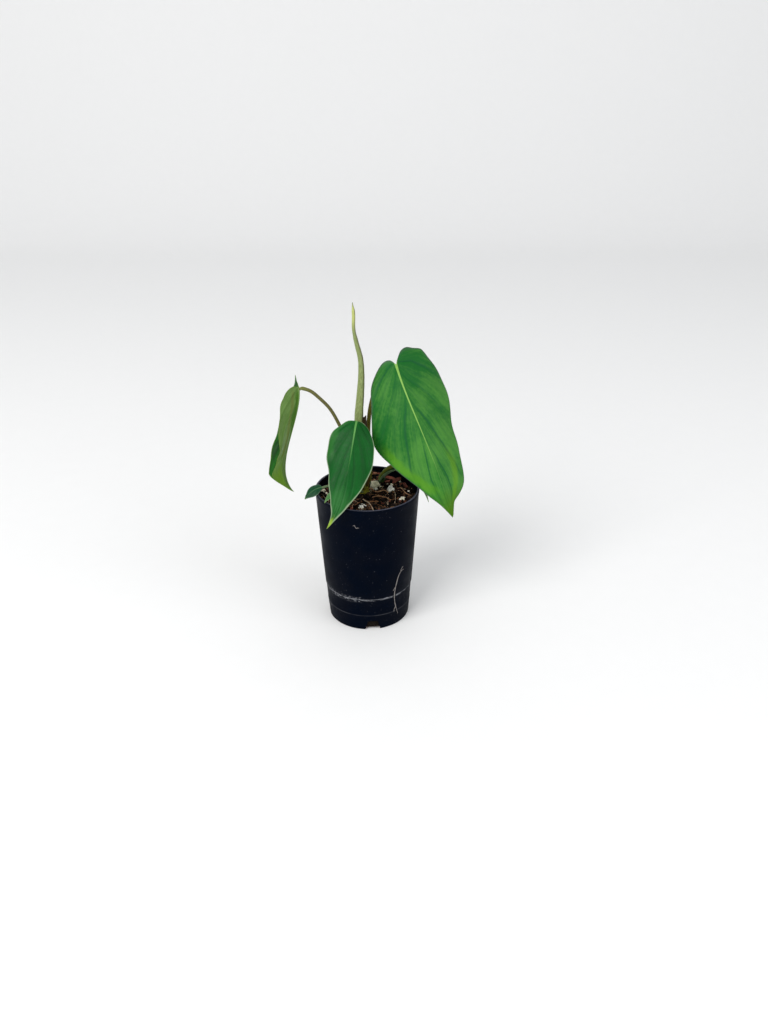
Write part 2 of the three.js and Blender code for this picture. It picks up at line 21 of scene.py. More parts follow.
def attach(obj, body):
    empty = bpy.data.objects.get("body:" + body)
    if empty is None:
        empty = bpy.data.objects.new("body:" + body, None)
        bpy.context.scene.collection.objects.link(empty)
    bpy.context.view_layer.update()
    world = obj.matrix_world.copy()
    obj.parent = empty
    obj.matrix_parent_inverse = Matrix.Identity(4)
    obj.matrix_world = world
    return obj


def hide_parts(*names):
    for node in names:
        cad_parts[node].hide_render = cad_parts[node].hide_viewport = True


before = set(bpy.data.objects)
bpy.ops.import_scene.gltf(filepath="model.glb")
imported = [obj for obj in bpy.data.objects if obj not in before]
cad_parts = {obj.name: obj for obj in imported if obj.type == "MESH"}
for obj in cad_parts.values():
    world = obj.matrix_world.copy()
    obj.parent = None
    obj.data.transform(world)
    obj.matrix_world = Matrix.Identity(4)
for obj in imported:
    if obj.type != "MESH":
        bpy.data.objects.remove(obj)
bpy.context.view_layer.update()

LOG = logging.getLogger("philodendron")
MM = 0.001
MERGE = 0.00001  # vertices this close, in metres, become one
CROWN = (-2.5, 4.0)  # where the stem leaves the mix
TURN = 6.28  # a full turn for the random draws, in radians

Point = Sequence[float]
Colour = tuple[int, int, int]


class Side(Enum):
    """The half of a leaf that a mark lies on."""

    LEFT = -1
    RIGHT = 1


# Tools for meshes


def activate(piece: bpy.types.Object) -> None:
    """Makes a piece the only selected one, and the active one."""
    bpy.ops.object.select_all(action="DESELECT")
    piece.select_set(True)
    bpy.context.view_layer.objects.active = piece


def add_new(operator: Callable[..., object], **values: object) -> bpy.types.Object:
    """Runs an operator that adds an object, and returns that object."""
    bpy.ops.object.select_all(action="DESELECT")
    operator(**values)
    return bpy.context.object


def flat_grid(name: str, columns: int, rows: int) -> bpy.types.Object:
    """Adds a flat grid that runs from -1 to 1 both ways, to be placed by formula.

    Args:
        name: the piece's name.
        columns: faces along x.
        rows: faces along y.

    Returns:
        The new grid.
    """
    piece = add_new(bpy.ops.mesh.primitive_grid_add, x_subdivisions=columns, y_subdivisions=rows, size=2.0)
    piece.name = piece.data.name = name
    return piece


def read_points(piece: bpy.types.Object) -> np.ndarray:
    """Returns a mesh's vertices as rows of x, y and z."""
    points = np.empty(len(piece.data.vertices) * 3)
    piece.data.vertices.foreach_get("co", points)
    return points.reshape(-1, 3)


def grid_rows(flat: np.ndarray, rows: int) -> np.ndarray:
    """Returns which row of a flat grid each of its vertices lies in."""
    return np.rint((flat[:, 1] + 1) / 2 * rows).astype(int)


def write_points(piece: bpy.types.Object, points: np.ndarray) -> None:
    """Places a mesh's vertices at points given in millimetres."""
    piece.data.vertices.foreach_set("co", (np.asarray(points) * MM).ravel())
    piece.data.update()


def write_vector(piece: bpy.types.Object, name: str, *values: np.ndarray) -> None:
    """Stores three numbers at each vertex, for the materials to read."""
    attribute = piece.data.attributes.new(name, "FLOAT_VECTOR", "POINT")
    attribute.data.foreach_set("vector", np.column_stack(values).astype(np.float32).ravel())


def write_tone(mesh: bpy.types.Mesh, tone: float) -> None:
    """Stores one number for a whole mesh, which tells its copies apart in a material."""
    attribute = mesh.attributes.new("tone", "FLOAT", "POINT")
    attribute.data.foreach_set("value", np.full(len(mesh.vertices), tone, np.float32))


def close_up(piece: bpy.types.Object, angle: float = 40.0) -> None:
    """Closes seams and poles, turns the faces outwards and smooths them.

    Args:
        piece: the mesh to finish.
        angle: the sharpest edge that is smoothed, in degrees.
    """
    activate(piece)
    bpy.ops.object.mode_set(mode="EDIT")
    bpy.ops.mesh.select_all(action="SELECT")
    bpy.ops.mesh.remove_doubles(threshold=MERGE)
    bpy.ops.mesh.normals_make_consistent(inside=False)
    bpy.ops.object.mode_set(mode="OBJECT")
    bpy.ops.object.shade_smooth_by_angle(angle=math.radians(angle))


def apply_modifier(piece: bpy.types.Object, kind: str, **values: object) -> None:
    """Adds a modifier with the given values, and applies it."""
    activate(piece)
    modifier = piece.modifiers.new(kind.lower(), kind)
    for name, value in values.items():
        setattr(modifier, name, value)
    bpy.ops.object.modifier_apply(modifier=modifier.name)


def join_all(name: str, pieces: Sequence[bpy.types.Object]) -> bpy.types.Object:
    """Joins several meshes into one piece.

    Args:
        name: the joined piece's name.
        pieces: the meshes; the first one takes in the others.

    Returns:
        The joined piece.
    """
    bpy.ops.object.select_all(action="DESELECT")
    for piece in pieces:
        piece.select_set(True)
    bpy.context.view_layer.objects.active = pieces[0]
    bpy.ops.object.join()
    pieces[0].name = pieces[0].data.name = name
    return pieces[0]


def settle(piece: bpy.types.Object, material: bpy.types.Material, slot: str, *nodes: str) -> None:
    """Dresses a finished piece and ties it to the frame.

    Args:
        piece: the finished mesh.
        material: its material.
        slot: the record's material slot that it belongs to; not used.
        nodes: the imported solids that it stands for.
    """
    piece.data.materials.clear()
    piece.data.materials.append(material)
    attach(piece, "root")
    if nodes:
        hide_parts(*nodes)
    LOG.info("%s: %d faces", piece.name, len(piece.data.polygons))


# Smooth lines


class Line:
    """A smooth line that is followed by shares of its length, from 0 to 1."""

    SAMPLES = 500
    STEP = 0.002

    def __init__(self, curve: Callable[[np.ndarray], np.ndarray]) -> None:
        """Measures a curve that is given over 0 to 1."""
        self.curve = curve
        self.steps = np.linspace(0.0, 1.0, self.SAMPLES + 1)
        gaps = np.linalg.norm(np.diff(curve(self.steps), axis=0), axis=1)
        self.lengths = np.concatenate(([0.0], np.cumsum(gaps)))
        self.length = float(self.lengths[-1])

    def at(self, share: np.ndarray) -> np.ndarray:
        """Returns the points at shares of the length."""
        return self.curve(np.interp(np.asarray(share) * self.length, self.lengths, self.steps))

    def direction(self, share: np.ndarray) -> np.ndarray:
        """Returns the unit directions at shares of the length."""
        share = np.asarray(share, float)
        return unit(self.at(np.minimum(share + self.STEP, 1.0)) - self.at(np.maximum(share - self.STEP, 0.0)))


def unit(vectors: np.ndarray) -> np.ndarray:
    """Returns the vectors at length one."""
    return vectors / np.maximum(np.linalg.norm(vectors, axis=-1, keepdims=True), 1e-9)


def cubic_line(points: Sequence[Point]) -> Line:
    """Returns the cubic curve of two ends and two handles."""
    start, first, second, end = np.array(points, float)

    def curve(share: np.ndarray) -> np.ndarray:
        """Returns the curve's points."""
        t = share[:, None]
        rest = 1.0 - t
        return rest**3 * start + 3 * rest**2 * t * first + 3 * rest * t**2 * second + t**3 * end

    return Line(curve)


def spline_line(points: Sequence[Point], even: bool = False) -> Line:
    """Returns a smooth line through points.

    Args:
        points: what it goes through.
        even: an even spline that eases at its ends, as a leaf's outline; otherwise a
            centripetal one that runs straight on at its ends, as a stalk or a fibre.

    Returns:
        The line.
    """
    knots = np.array(points, float)
    ends = (knots[0], knots[-1]) if even else (2 * knots[0] - knots[1], 2 * knots[-1] - knots[-2])
    padded = np.vstack((ends[0], knots, ends[1]))

    def gap(start: np.ndarray, end: np.ndarray) -> np.ndarray | float:
        """Returns how long the spline takes from one point to the next."""
        return 1.0 if even else np.sqrt(np.linalg.norm(end - start, axis=1, keepdims=True))

    def curve(share: np.ndarray) -> np.ndarray:
        """Returns the spline's points."""
        place = share * (len(knots) - 1)
        i = np.minimum(place.astype(int), len(knots) - 2)
        t = (place - i)[:, None]
        before, a, b, after = (padded[i + k] for k in range(4))
        d0, d1, d2 = gap(before, a), gap(a, b), gap(b, after)
        out = ((a - before) / d0 - (b - before) / (d0 + d1) + (b - a) / d1) * d1
        into = ((b - a) / d1 - (after - a) / (d1 + d2) + (after - b) / d2) * d1
        bend = 3 * (b - a) - 2 * out - into
        return a + out * t + bend * t**2 + (2 * (a - b) + out + into) * t**3

    return Line(curve)


def eased(values: Sequence[float], share: np.ndarray) -> np.ndarray:
    """Returns values that ease through the given ones, spaced evenly over 0 to 1."""
    knots = np.array(values, float)
    place = np.clip(share, 0.0, 1.0) * (len(knots) - 1)
    index = np.minimum(place.astype(int), len(knots) - 2)
    ease = (1 - np.cos(np.pi * (place - index))) / 2
    return knots[index] + (knots[index + 1] - knots[index]) * ease


def make_tube(
    name: str,
    line: Line,
    radius: Callable[[np.ndarray], np.ndarray],
    sides: int = 16,
    rows: int = 60,
    section: Callable[[np.ndarray, np.ndarray], np.ndarray] | None = None,
    lapped: bool = False,
    rounding: float = 0.6,
) -> bpy.types.Object:
    """Makes a closed round piece along a line, with domed ends.

    Args:
        name: the piece's name.
        line: the line that its middle follows.
        radius: the radius in millimetres at shares of the line's length.
        sides: faces round the piece.
        rows: faces along it.
        section: a factor on the radius from the turn and the share, both 0 to 1.
        lapped: whether the last column steps back to the first, as a rolled edge does.
        rounding: length of each domed end, as a factor on the radius there.

    Returns:
        The piece, with the attribute "place" of share, turn and millimetres along.
    """
    piece = flat_grid(name, sides, rows)
    flat = read_points(piece)
    dome = 4
    first, last = (float(radius(np.array([end]))[0]) * rounding / line.length for end in (0.0, 1.0))
    quarter = np.linspace(0, math.pi / 2, dome + 1)[:-1]
    angles, heights = 1 - np.cos(quarter), np.sin(quarter)
    middle = rows + 1 - 2 * dome
    shares = np.concatenate((first * angles, np.linspace(first, 1 - last, middle), 1 - (last * angles)[::-1]))
    domes = np.concatenate((heights, np.ones(middle), heights[::-1]))
    centres, along = line.at(shares), line.direction(shares)
    across = np.empty_like(along)
    start = np.eye(3)[np.argmin(np.abs(along[0]))]
    for i, forward in enumerate(along):
        start = start - forward * start.dot(forward)
        start = start / np.linalg.norm(start)
        across[i] = start
    out = np.cross(along, across)
    row = grid_rows(flat, rows)
    turn = (flat[:, 0] + 1) / 2
    if lapped:
        column = np.rint(turn * sides)
        turn = np.where(column == sides, 0.0, turn * sides / (sides - 1))
    angle = 2 * math.pi * turn
    reach = radius(shares[row]) * domes[row]
    if section is not None:
        reach = reach * section(turn, shares[row])
    ring = across[row] * np.cos(angle)[:, None] + out[row] * np.sin(angle)[:, None]
    write_points(piece, centres[row] + ring * reach[:, None])
    write_vector(piece, "place", shares[row], turn, shares[row] * line.length)
    close_up(piece, 50.0)
    return piece


def make_turned(name: str, profile: Sequence[tuple[float, float]], columns: int) -> bpy.types.Object:
    """Turns a profile of radius and height round the upright axis.

    Args:
        name: the piece's name.
        profile: points of radius and height, from the axis and back to the axis.
        columns: faces round the axis.

    Returns:
        The open-seamed piece, whose seam is at the back.
    """
    piece = flat_grid(name, columns, len(profile) - 1)
    flat = read_points(piece)
    radius, height = np.array(profile, float)[grid_rows(flat, len(profile) - 1)].T
    angle = math.pi * (flat[:, 0] + 1)
    write_points(piece, np.column_stack((radius * np.sin(angle), radius * np.cos(angle), height)))
    return piece


@dataclass(frozen=True)
class Thread:
    """A thin root or fibre: its points, and an uneven radius that thins at both ends."""

    points: Sequence[Point]
    radius: float
    tone: float
    rows: int = 24
    end: float = 0.35
    pace: float = 5.0
    lumps: float = 0.2
    waves: float = 20.0
    shift: float = 0.0

    def radius_at(self, share: np.ndarray) -> np.ndarray:
        """Returns the radius at shares of the length."""
        thin = self.end + (1 - self.end) * np.minimum(1, self.pace * np.minimum(share, 1 - share))
        return self.radius * thin * (1 + self.lumps * np.sin(self.waves * share + self.shift))


def join_threads(name: str, threads: Sequence[Thread], sides: int) -> bpy.types.Object:
    """Makes threads, each with its tone, and joins them.

    Args:
        name: the joined piece's name.
        threads: the threads.
        sides: faces round each thread.

    Returns:
        The joined piece.
    """
    pieces = []
    for i, thread in enumerate(threads):
        line = spline_line(thread.points)
        pieces.append(make_tube(f"{name}_{i}", line, thread.radius_at, sides, thread.rows))
        write_tone(pieces[-1].data, thread.tone)
    return join_all(name, pieces)


# Tools for materials


def linear(colour: Colour, share: float = 1.0) -> tuple[float, ...]:
    """Returns a screen colour of 0 to 255 as light, or as a share of that light."""
    parts = [value / 255 for value in colour]
    light = [part / 12.92 if part <= 0.04045 else ((part + 0.055) / 1.055) ** 2.4 for part in parts]
    return (*(value * share for value in light), 1.0)


def reckoner(operation: str, swapped: bool = False) -> Callable[..., "Value"]:
    """Returns a method that adds the node for a sum on a value and any others."""
    def reckon(value: "Value", *others: "Value | float") -> "Value":
        """Returns the sum's result."""
        terms = (*others, value) if swapped else (value, *others)
        return value.nodes.take(0, "Math", dict(enumerate(terms)), operation=operation)

    return reckon


class Value:
    """What a node puts out. Sums on it add the nodes that work them out."""

    __add__ = __radd__ = reckoner("ADD")
    __mul__ = __rmul__ = reckoner("MULTIPLY")
    __sub__ = reckoner("SUBTRACT")
    __rsub__ = reckoner("SUBTRACT", swapped=True)
    __truediv__ = reckoner("DIVIDE")
    __abs__ = reckoner("ABSOLUTE")
    cosine = reckoner("COSINE")
    sine = reckoner("SINE")
    root = reckoner("SQRT")
    rounded = reckoner("ROUND")
    least = reckoner("MINIMUM")
    most = reckoner("MAXIMUM")

    def __init__(self, nodes: "Nodes", socket: bpy.types.NodeSocket) -> None:
        """Keeps the socket and the tools of its tree."""
        self.nodes = nodes
        self.socket = socket

    def span(self, low: float, high: float) -> "Value":
        """Returns 0 to 1, eased at both ends, as the value goes from low to high."""
        inputs = {"Value": self, "From Min": low, "From Max": high}
        return self.nodes.take(0, "MapRange", inputs, interpolation_type="SMOOTHSTEP")


class Nodes:
    """Adds the nodes of one shader tree and links them."""

    def __init__(self, tree: bpy.types.NodeTree) -> None:
        """Keeps the tree that the nodes go into."""
        self.tree = tree

    def feed(self, socket: bpy.types.NodeSocket, value: object) -> None:
        """Links a value to a socket, or sets the socket to a plain number or colour."""
        if isinstance(value, Value):
            self.tree.links.new(value.socket, socket)
        else:
            socket.default_value = value

    def add(self, kind: str, inputs: dict | None = None, **values: object) -> bpy.types.Node:
        """Adds a node.

        Args:
            kind: the node's type, without "ShaderNode".
            inputs: what its inputs are fed, by name or number.
            values: its other settings.

        Returns:
            The new node.
        """
        node = self.tree.nodes.new("ShaderNode" + kind)
        for name, value in values.items():
            setattr(node, name, value)
        for name, value in (inputs or {}).items():
            self.feed(node.inputs[name], value)
        return node

    def take(self, output: int | str, kind: str, inputs: dict | None = None, **values: object) -> Value:
        """Adds a node and returns one of its outputs."""
        return Value(self, self.add(kind, inputs, **values).outputs[output])

    def mix(self, share: object, low: object, high: object) -> Value:
        """Returns the colour between low and high at a share; screen colours are taken too."""
        low, high = (linear(end) if isinstance(end, tuple) and len(end) == 3 else end for end in (low, high))
        return self.take(2, "Mix", {0: share, 6: low, 7: high}, data_type="RGBA")

    def noise(self, vector: Value, scale: float, detail: float = 3.0, rough: float = 0.5) -> Value:
        """Returns cloudy noise from 0 to 1 at a scale per metre."""
        inputs = {"Vector": vector, "Scale": scale, "Detail": detail, "Roughness": rough}
        return self.take(0, "TexNoise", inputs)

    def join(self, *parts: Value) -> Value:
        """Returns the vector of two or three numbers."""
        return self.take(0, "CombineXYZ", dict(enumerate(parts)))

    def split(self, vector: Value) -> list[Value]:
        """Returns the three numbers of a vector."""
        return [Value(self, socket) for socket in self.add("SeparateXYZ", {0: vector}).outputs]

    def parts(self, name: str) -> list[Value]:
        """Returns the three numbers of a vector attribute."""
        return self.split(self.take("Vector", "Attribute", attribute_name=name))

    def place(self) -> Value:
        """Returns the place on the object in metres."""
        return self.take("Object", "TexCoord")

    def stretched(self, factors: Point) -> Value:
        """Returns the place on the object, stretched along its axes."""
        return self.take(0, "Mapping", {"Vector": self.place(), "Scale": factors})

    def group(self, tree: bpy.types.NodeTree, *inputs: object) -> list[Value]:
        """Adds a shared effect, fed in order, and returns its outputs in order."""
        node = self.add("Group", dict(enumerate(inputs)), node_tree=tree)
        return [Value(self, socket) for socket in node.outputs]


def make_effect(
    name: str, inputs: Sequence[str], outputs: Sequence[str], recipe: Callable[..., Sequence[Value]]
) -> bpy.types.NodeTree:
    """Makes an effect that several materials share.

    Args:
        name: the effect's name.
        inputs: its inputs' names; "Vector" is a place, and the others are numbers.
        outputs: its outputs' names, all single numbers.
        recipe: works the outputs out from the tree's node tools and the inputs.

    Returns:
        The effect's tree.
    """
    tree = bpy.data.node_groups.new(name, "ShaderNodeTree")
    for label in inputs:
        kind = "Vector" if label == "Vector" else "Float"
        tree.interface.new_socket(label, in_out="INPUT", socket_type="NodeSocket" + kind)
    for label in outputs:
        tree.interface.new_socket(label, in_out="OUTPUT", socket_type="NodeSocketFloat")
    nodes = Nodes(tree)
    source, result = tree.nodes.new("NodeGroupInput"), tree.nodes.new("NodeGroupOutput")
    given = [Value(nodes, socket) for socket in source.outputs if socket.name]
    for socket, value in zip(result.inputs, recipe(nodes, *given)):
        nodes.feed(socket, value)
    return tree


def side_veins(nodes: Nodes, phase: Value, across: Value, wander: Value) -> tuple[Value, Value, Value]:
    """Works out the painted light and shade that follow the pleats between a leaf's side veins, the painted
    shade in their grooves, and uneven stripes.

    The phase counts the side veins from the base to the tip: strong ones at even
    numbers, weak ones at odd numbers.
    """
    phase = phase + wander
    wave = (phase * math.pi).cosine()
    near = abs(phase - phase.rounded())
    fade = across.span(1.0, 0.7) * across.span(0.04, 0.16)
    # painted shade along the sunk side veins, in the pleats' valleys
    groove_shade = near.span(0.2, 0.02) * (wave * 0.36 + 0.64) * fade
    stripe = nodes.noise(nodes.join(phase * 1.9, across * 0.8), 2.6, 4.0, 0.65).span(0.36, 0.66)
    # the band is painted light on the pleats' ridges and painted shade in their valleys
    return wave * -0.5 + 0.5, groove_shade, stripe


def leaf_net(nodes: Nodes, place: Value, scale: Value) -> tuple[Value]:
    """Works out the fine net of veins between the side veins."""
    inputs = {"Vector": place, "Scale": scale}
    cells = nodes.take("Distance", "TexVoronoi", inputs, feature="DISTANCE_TO_EDGE")
    return (cells.span(0.0, 0.16),)


def soft_blotches(nodes: Nodes, place: Value, scale: Value) -> tuple[Value]:
    """Works out soft blotches from 0 to 1 with some contrast."""
    return (nodes.noise(place, scale, 4.0).span(0.35, 0.65),)


def long_streaks(nodes: Nodes, turn: Value, along: Value) -> tuple[Value, Value]:
    """Works out the streaks and the ridges that run along a stalk."""
    angle = turn * (2 * math.pi)
    ring = nodes.join(angle.cosine(), angle.sine(), along * 0.07)
    return nodes.noise(ring, 5.0, 4.0, 0.6).span(0.38, 0.64), (angle * 11.0).cosine()


class Effects:
    """The shader groups that more than one material uses."""

    def __init__(self) -> None:
        """Makes the groups."""
        self.veins = make_effect("side_veins", ("Phase", "Across", "Wander"), ("PleatShade", "Groove", "Stripe"),
                                 side_veins)
        self.net = make_effect("leaf_net", ("Vector", "Scale"), ("Height",), leaf_net)
        self.cloud = make_effect("soft_blotches", ("Vector", "Scale"), ("Mask",), soft_blotches)
        self.streaks = make_effect("long_streaks", ("Turn", "Along"), ("Streak", "Ridge"), long_streaks)


# Finishes


@dataclass(frozen=True)
class Finish:
    """A material whose colour, roughness and relief are worked out over the surface."""

    name: str
    specular: ClassVar[float] = 0.2
    depth: ClassVar[float] = 0.0004
    relief = 0.3  # not annotated here, so that some finishes can make it a field

    def paint(self, nodes: Nodes, effects: Effects) -> tuple:
        """Returns the colour, the roughness and the relief's height, or None for no relief."""
        raise NotImplementedError

    def make(self, effects: Effects) -> bpy.types.Material:
        """Makes the material."""
        material = bpy.data.materials.new(self.name)
        material.use_nodes = True
        nodes = Nodes(material.node_tree)
        surface = material.node_tree.nodes["Principled BSDF"]
        colour, rough, height = self.paint(nodes, effects)
        fed = {"Base Color": colour, "Roughness": rough, "Specular IOR Level": self.specular}
        if height is not None:
            bump = {"Strength": self.relief, "Distance": self.depth, "Height": height}
            fed["Normal"] = nodes.take(0, "Bump", bump)
        for name, value in fed.items():
            nodes.feed(surface.inputs[name], value)
        return material


class Measure(Enum):
    """What a streak's place on its half of the leaf is counted in."""

    FROM_MARGIN = "millimetres from the margin"
    FROM_RIB = "millimetres from the midrib"
    ACROSS = "the share from the midrib to the margin"


@dataclass(frozen=True)
class Streak:
    """A coloured streak along one half of a leaf: its middle and half its width."""

    side: Side
    measure: Measure
    middle: float
    width: float
    start: float
    end: float
    colour: Colour
    strength: float = 1.0
    fade: ClassVar[float] = 0.12

    def mask(self, place: Value, along: Value, across: Value, broad: Value) -> Value:
        """Returns how strongly the streak covers each place of the leaf."""
        off = place + (broad - 0.5) * (self.width * 0.6) - self.middle
        mask = abs(off).span(self.width, self.width * 0.25) * (across * self.side.value).span(0.0, 0.02)
        run = along.span(self.start, self.start + self.fade) * along.span(self.end, self.end - self.fade)
        return mask * run * self.strength


@dataclass(frozen=True)
class LeafFinish(Finish):
    """A leaf's colours: its upper face, its underside and its veins, with painted light and shade on its
    pleats and painted shade in its grooves.
    """

    dark: Colour
    light: Colour
    rib: Colour
    margin: Colour
    tip: Colour
    under: Colour
    under_rib: Colour
    tip_start: float = 0.8
    rib_end: float = 1.0
    # the colour and the strength of the painted shade in the side veins' grooves
    groove_shade: Colour = (4, 78, 30)
    grooves: float = 0.7
    # how strongly the painted pleat light and shade and the stripes show
    bands: float = 1.0
    rib_width: float = 1.2
    lower_light: float = 0.0
    roughness: float = 0.42
    margin_width: float = 0.7
    streaks: tuple[Streak, ...] = ()
    specular: ClassVar[float] = 0.16
    depth: ClassVar[float] = 0.0002
    broad_scale: ClassVar[float] = 45.0
    small_scale: ClassVar[float] = 420.0
    net_scale: ClassVar[float] = 520.0

    def paint(self, nodes: Nodes, effects: Effects) -> tuple:
        """Returns the colour, the roughness and the relief's height.

        The attribute "vein" holds the side veins' phase, the place across from -1 to 1
        and the face (1 above, -1 below). "edge" holds the millimetres to the margin,
        the share along the leaf and the millimetres across.
        """
        phase, across, face = nodes.parts("vein")
        margin, along, reach = nodes.parts("edge")
        place, width = nodes.place(), abs(across)
        wander = nodes.noise(place, 60.0) * 0.5 - 0.25
        bands, grooves, stripes = nodes.group(effects.veins, phase, width, wander)
        broad, small = (nodes.group(effects.cloud, place, s)[0] for s in (self.broad_scale, self.small_scale))
        net = nodes.group(effects.net, place, self.net_scale)[0]
        # painted light on the pleats' ridges and painted shade in their valleys, with uneven stripes and
        # blotches
        shade = (bands * 0.45 + stripes * 0.55) * self.bands + (broad - 0.5) * 0.4
        shade = shade + along.span(0.12, 0.75) * self.lower_light + (small - 0.5) * 0.16
        # painted shade in the grooves of the side veins
        groove_shade = grooves * (abs(phase).span(0.3, 1.0) * 0.6 + 0.4) * self.grooves
        upper = nodes.mix(groove_shade, nodes.mix(shade.span(0.0, 1.0), self.dark, self.light), self.groove_shade)
        below = nodes.mix(grooves * 0.3, nodes.mix(shade * 0.6, self.under, self.under_rib), self.under_rib)
        places = {Measure.FROM_MARGIN: margin, Measure.FROM_RIB: abs(reach), Measure.ACROSS: width}
        for streak in self.streaks:
            mask = streak.mask(places[streak.measure], along, across, broad)
            upper, below = (nodes.mix(mask, ground, streak.colour) for ground in (upper, below))
        tip = (broad * 0.06 + along).span(self.tip_start, 1.0)
        upper = nodes.mix(tip, upper, self.tip)
        left = 1.0 - along
        thin = left * left * self.rib_width + 0.22 + along.span(0.055, 0.02) * (0.9 * self.rib_width)
        rib = (abs(reach) / thin).span(1.2, 0.6)
        upper = nodes.mix(rib * along.span(self.rib_end, self.rib_end - 0.5), upper, self.rib)
        below = nodes.mix(rib * 0.8, below, self.under_rib)
        edge = margin.span(self.margin_width, self.margin_width * 0.35) * (tip * -0.6 + 0.8)
        colour = nodes.mix(edge, nodes.mix(face.span(-0.5, 0.5), below, upper), self.margin)
        return colour, small * 0.12 + self.roughness, stripes * 0.5 + net * 0.35 - groove_shade * 0.9


@dataclass(frozen=True)
class StalkFinish(Finish):
    """A stalk's colours: its ground, its long streaks, and its foot and far end."""

    ground: Colour
    streak: Colour
    foot: Colour
    end: Colour
    roughness: float = 0.42
    relief: float = 0.25
    ends: float = 0.88
    specular: ClassVar[float] = 0.25
    depth: ClassVar[float] = 0.0003

    def paint(self, nodes: Nodes, effects: Effects) -> tuple:
        """Returns the colour, the roughness and the relief's height along a tube."""
        share, turn, along = nodes.parts("place")
        streak, ridge = nodes.group(effects.streaks, turn, along)
        specks = nodes.noise(nodes.stretched((1.0, 1.0, 0.35)), 1500.0, 2.0)
        colour = nodes.mix(streak * 0.7, self.ground, self.streak)
        colour = nodes.mix(specks.span(0.56, 0.72), colour, self.streak)
        colour = nodes.mix(share.span(0.16, 0.02), colour, self.foot)
        colour = nodes.mix(share.span(self.ends, 1.0), colour, self.end)
        return colour, streak * 0.15 + self.roughness, ridge * 0.3 + specks


@dataclass(frozen=True)
class SpikeFinish(Finish):
    """The rolled leaf's colours: round it, up to its tip and along its overlapping edge, with painted shade
    down its right flank.
    """

    name: str = "rolled_leaf_skin"
    lit: Colour = (134, 148, 92)
    shaded: Colour = (100, 112, 60)
    seam: Colour = (56, 58, 22)
    # the brown painted shade on the right flank
    right_flank_shade: Colour = (74, 66, 44)
    tip: Colour = (172, 180, 106)
    foot: Colour = (126, 126, 52)
    roughness: float = 0.42
    specular: ClassVar[float] = 0.3
    relief: ClassVar[float] = 0.2
    depth: ClassVar[float] = 0.0002

    def paint(self, nodes: Nodes, effects: Effects) -> tuple:
        """Returns the colour, the roughness and the relief's height.

        The attribute "place" is that of the rolled tube. "side" holds how far each spot lies to the right of
        the spike's middle, from -1 to 1; the painted shade on the right flank follows it.
        """
        share, turn, along = nodes.parts("place")
        right = nodes.parts("side")[0]
        streak, ridge = nodes.group(effects.streaks, turn, along)
        veins = ((turn * 5.0 + along * 0.35) * (2 * math.pi)).cosine() * 0.5 + 0.5
        colour = nodes.mix(streak * 0.8, self.lit, self.shaded)
        colour = nodes.mix(veins.span(0.7, 1.0) * 0.25, colour, self.shaded)
        colour = nodes.mix(share.span(0.84, 0.93) * share.span(0.995, 0.97), colour, self.tip)
        colour = nodes.mix(share.span(0.4, 0.1), colour, self.foot)
        # painted shade on the right flank, away from the key light
        shade_to_right = right + 0.1 - streak * 0.25
        colour = nodes.mix(shade_to_right.span(0.45, 0.95) * 0.85, colour, self.right_flank_shade)
        lap = turn.span(0.94, 0.985).most(turn.span(0.05, 0.01))
        colour = nodes.mix(lap * 0.85, colour, self.seam)
        return colour, streak * 0.1 + self.roughness, veins + ridge


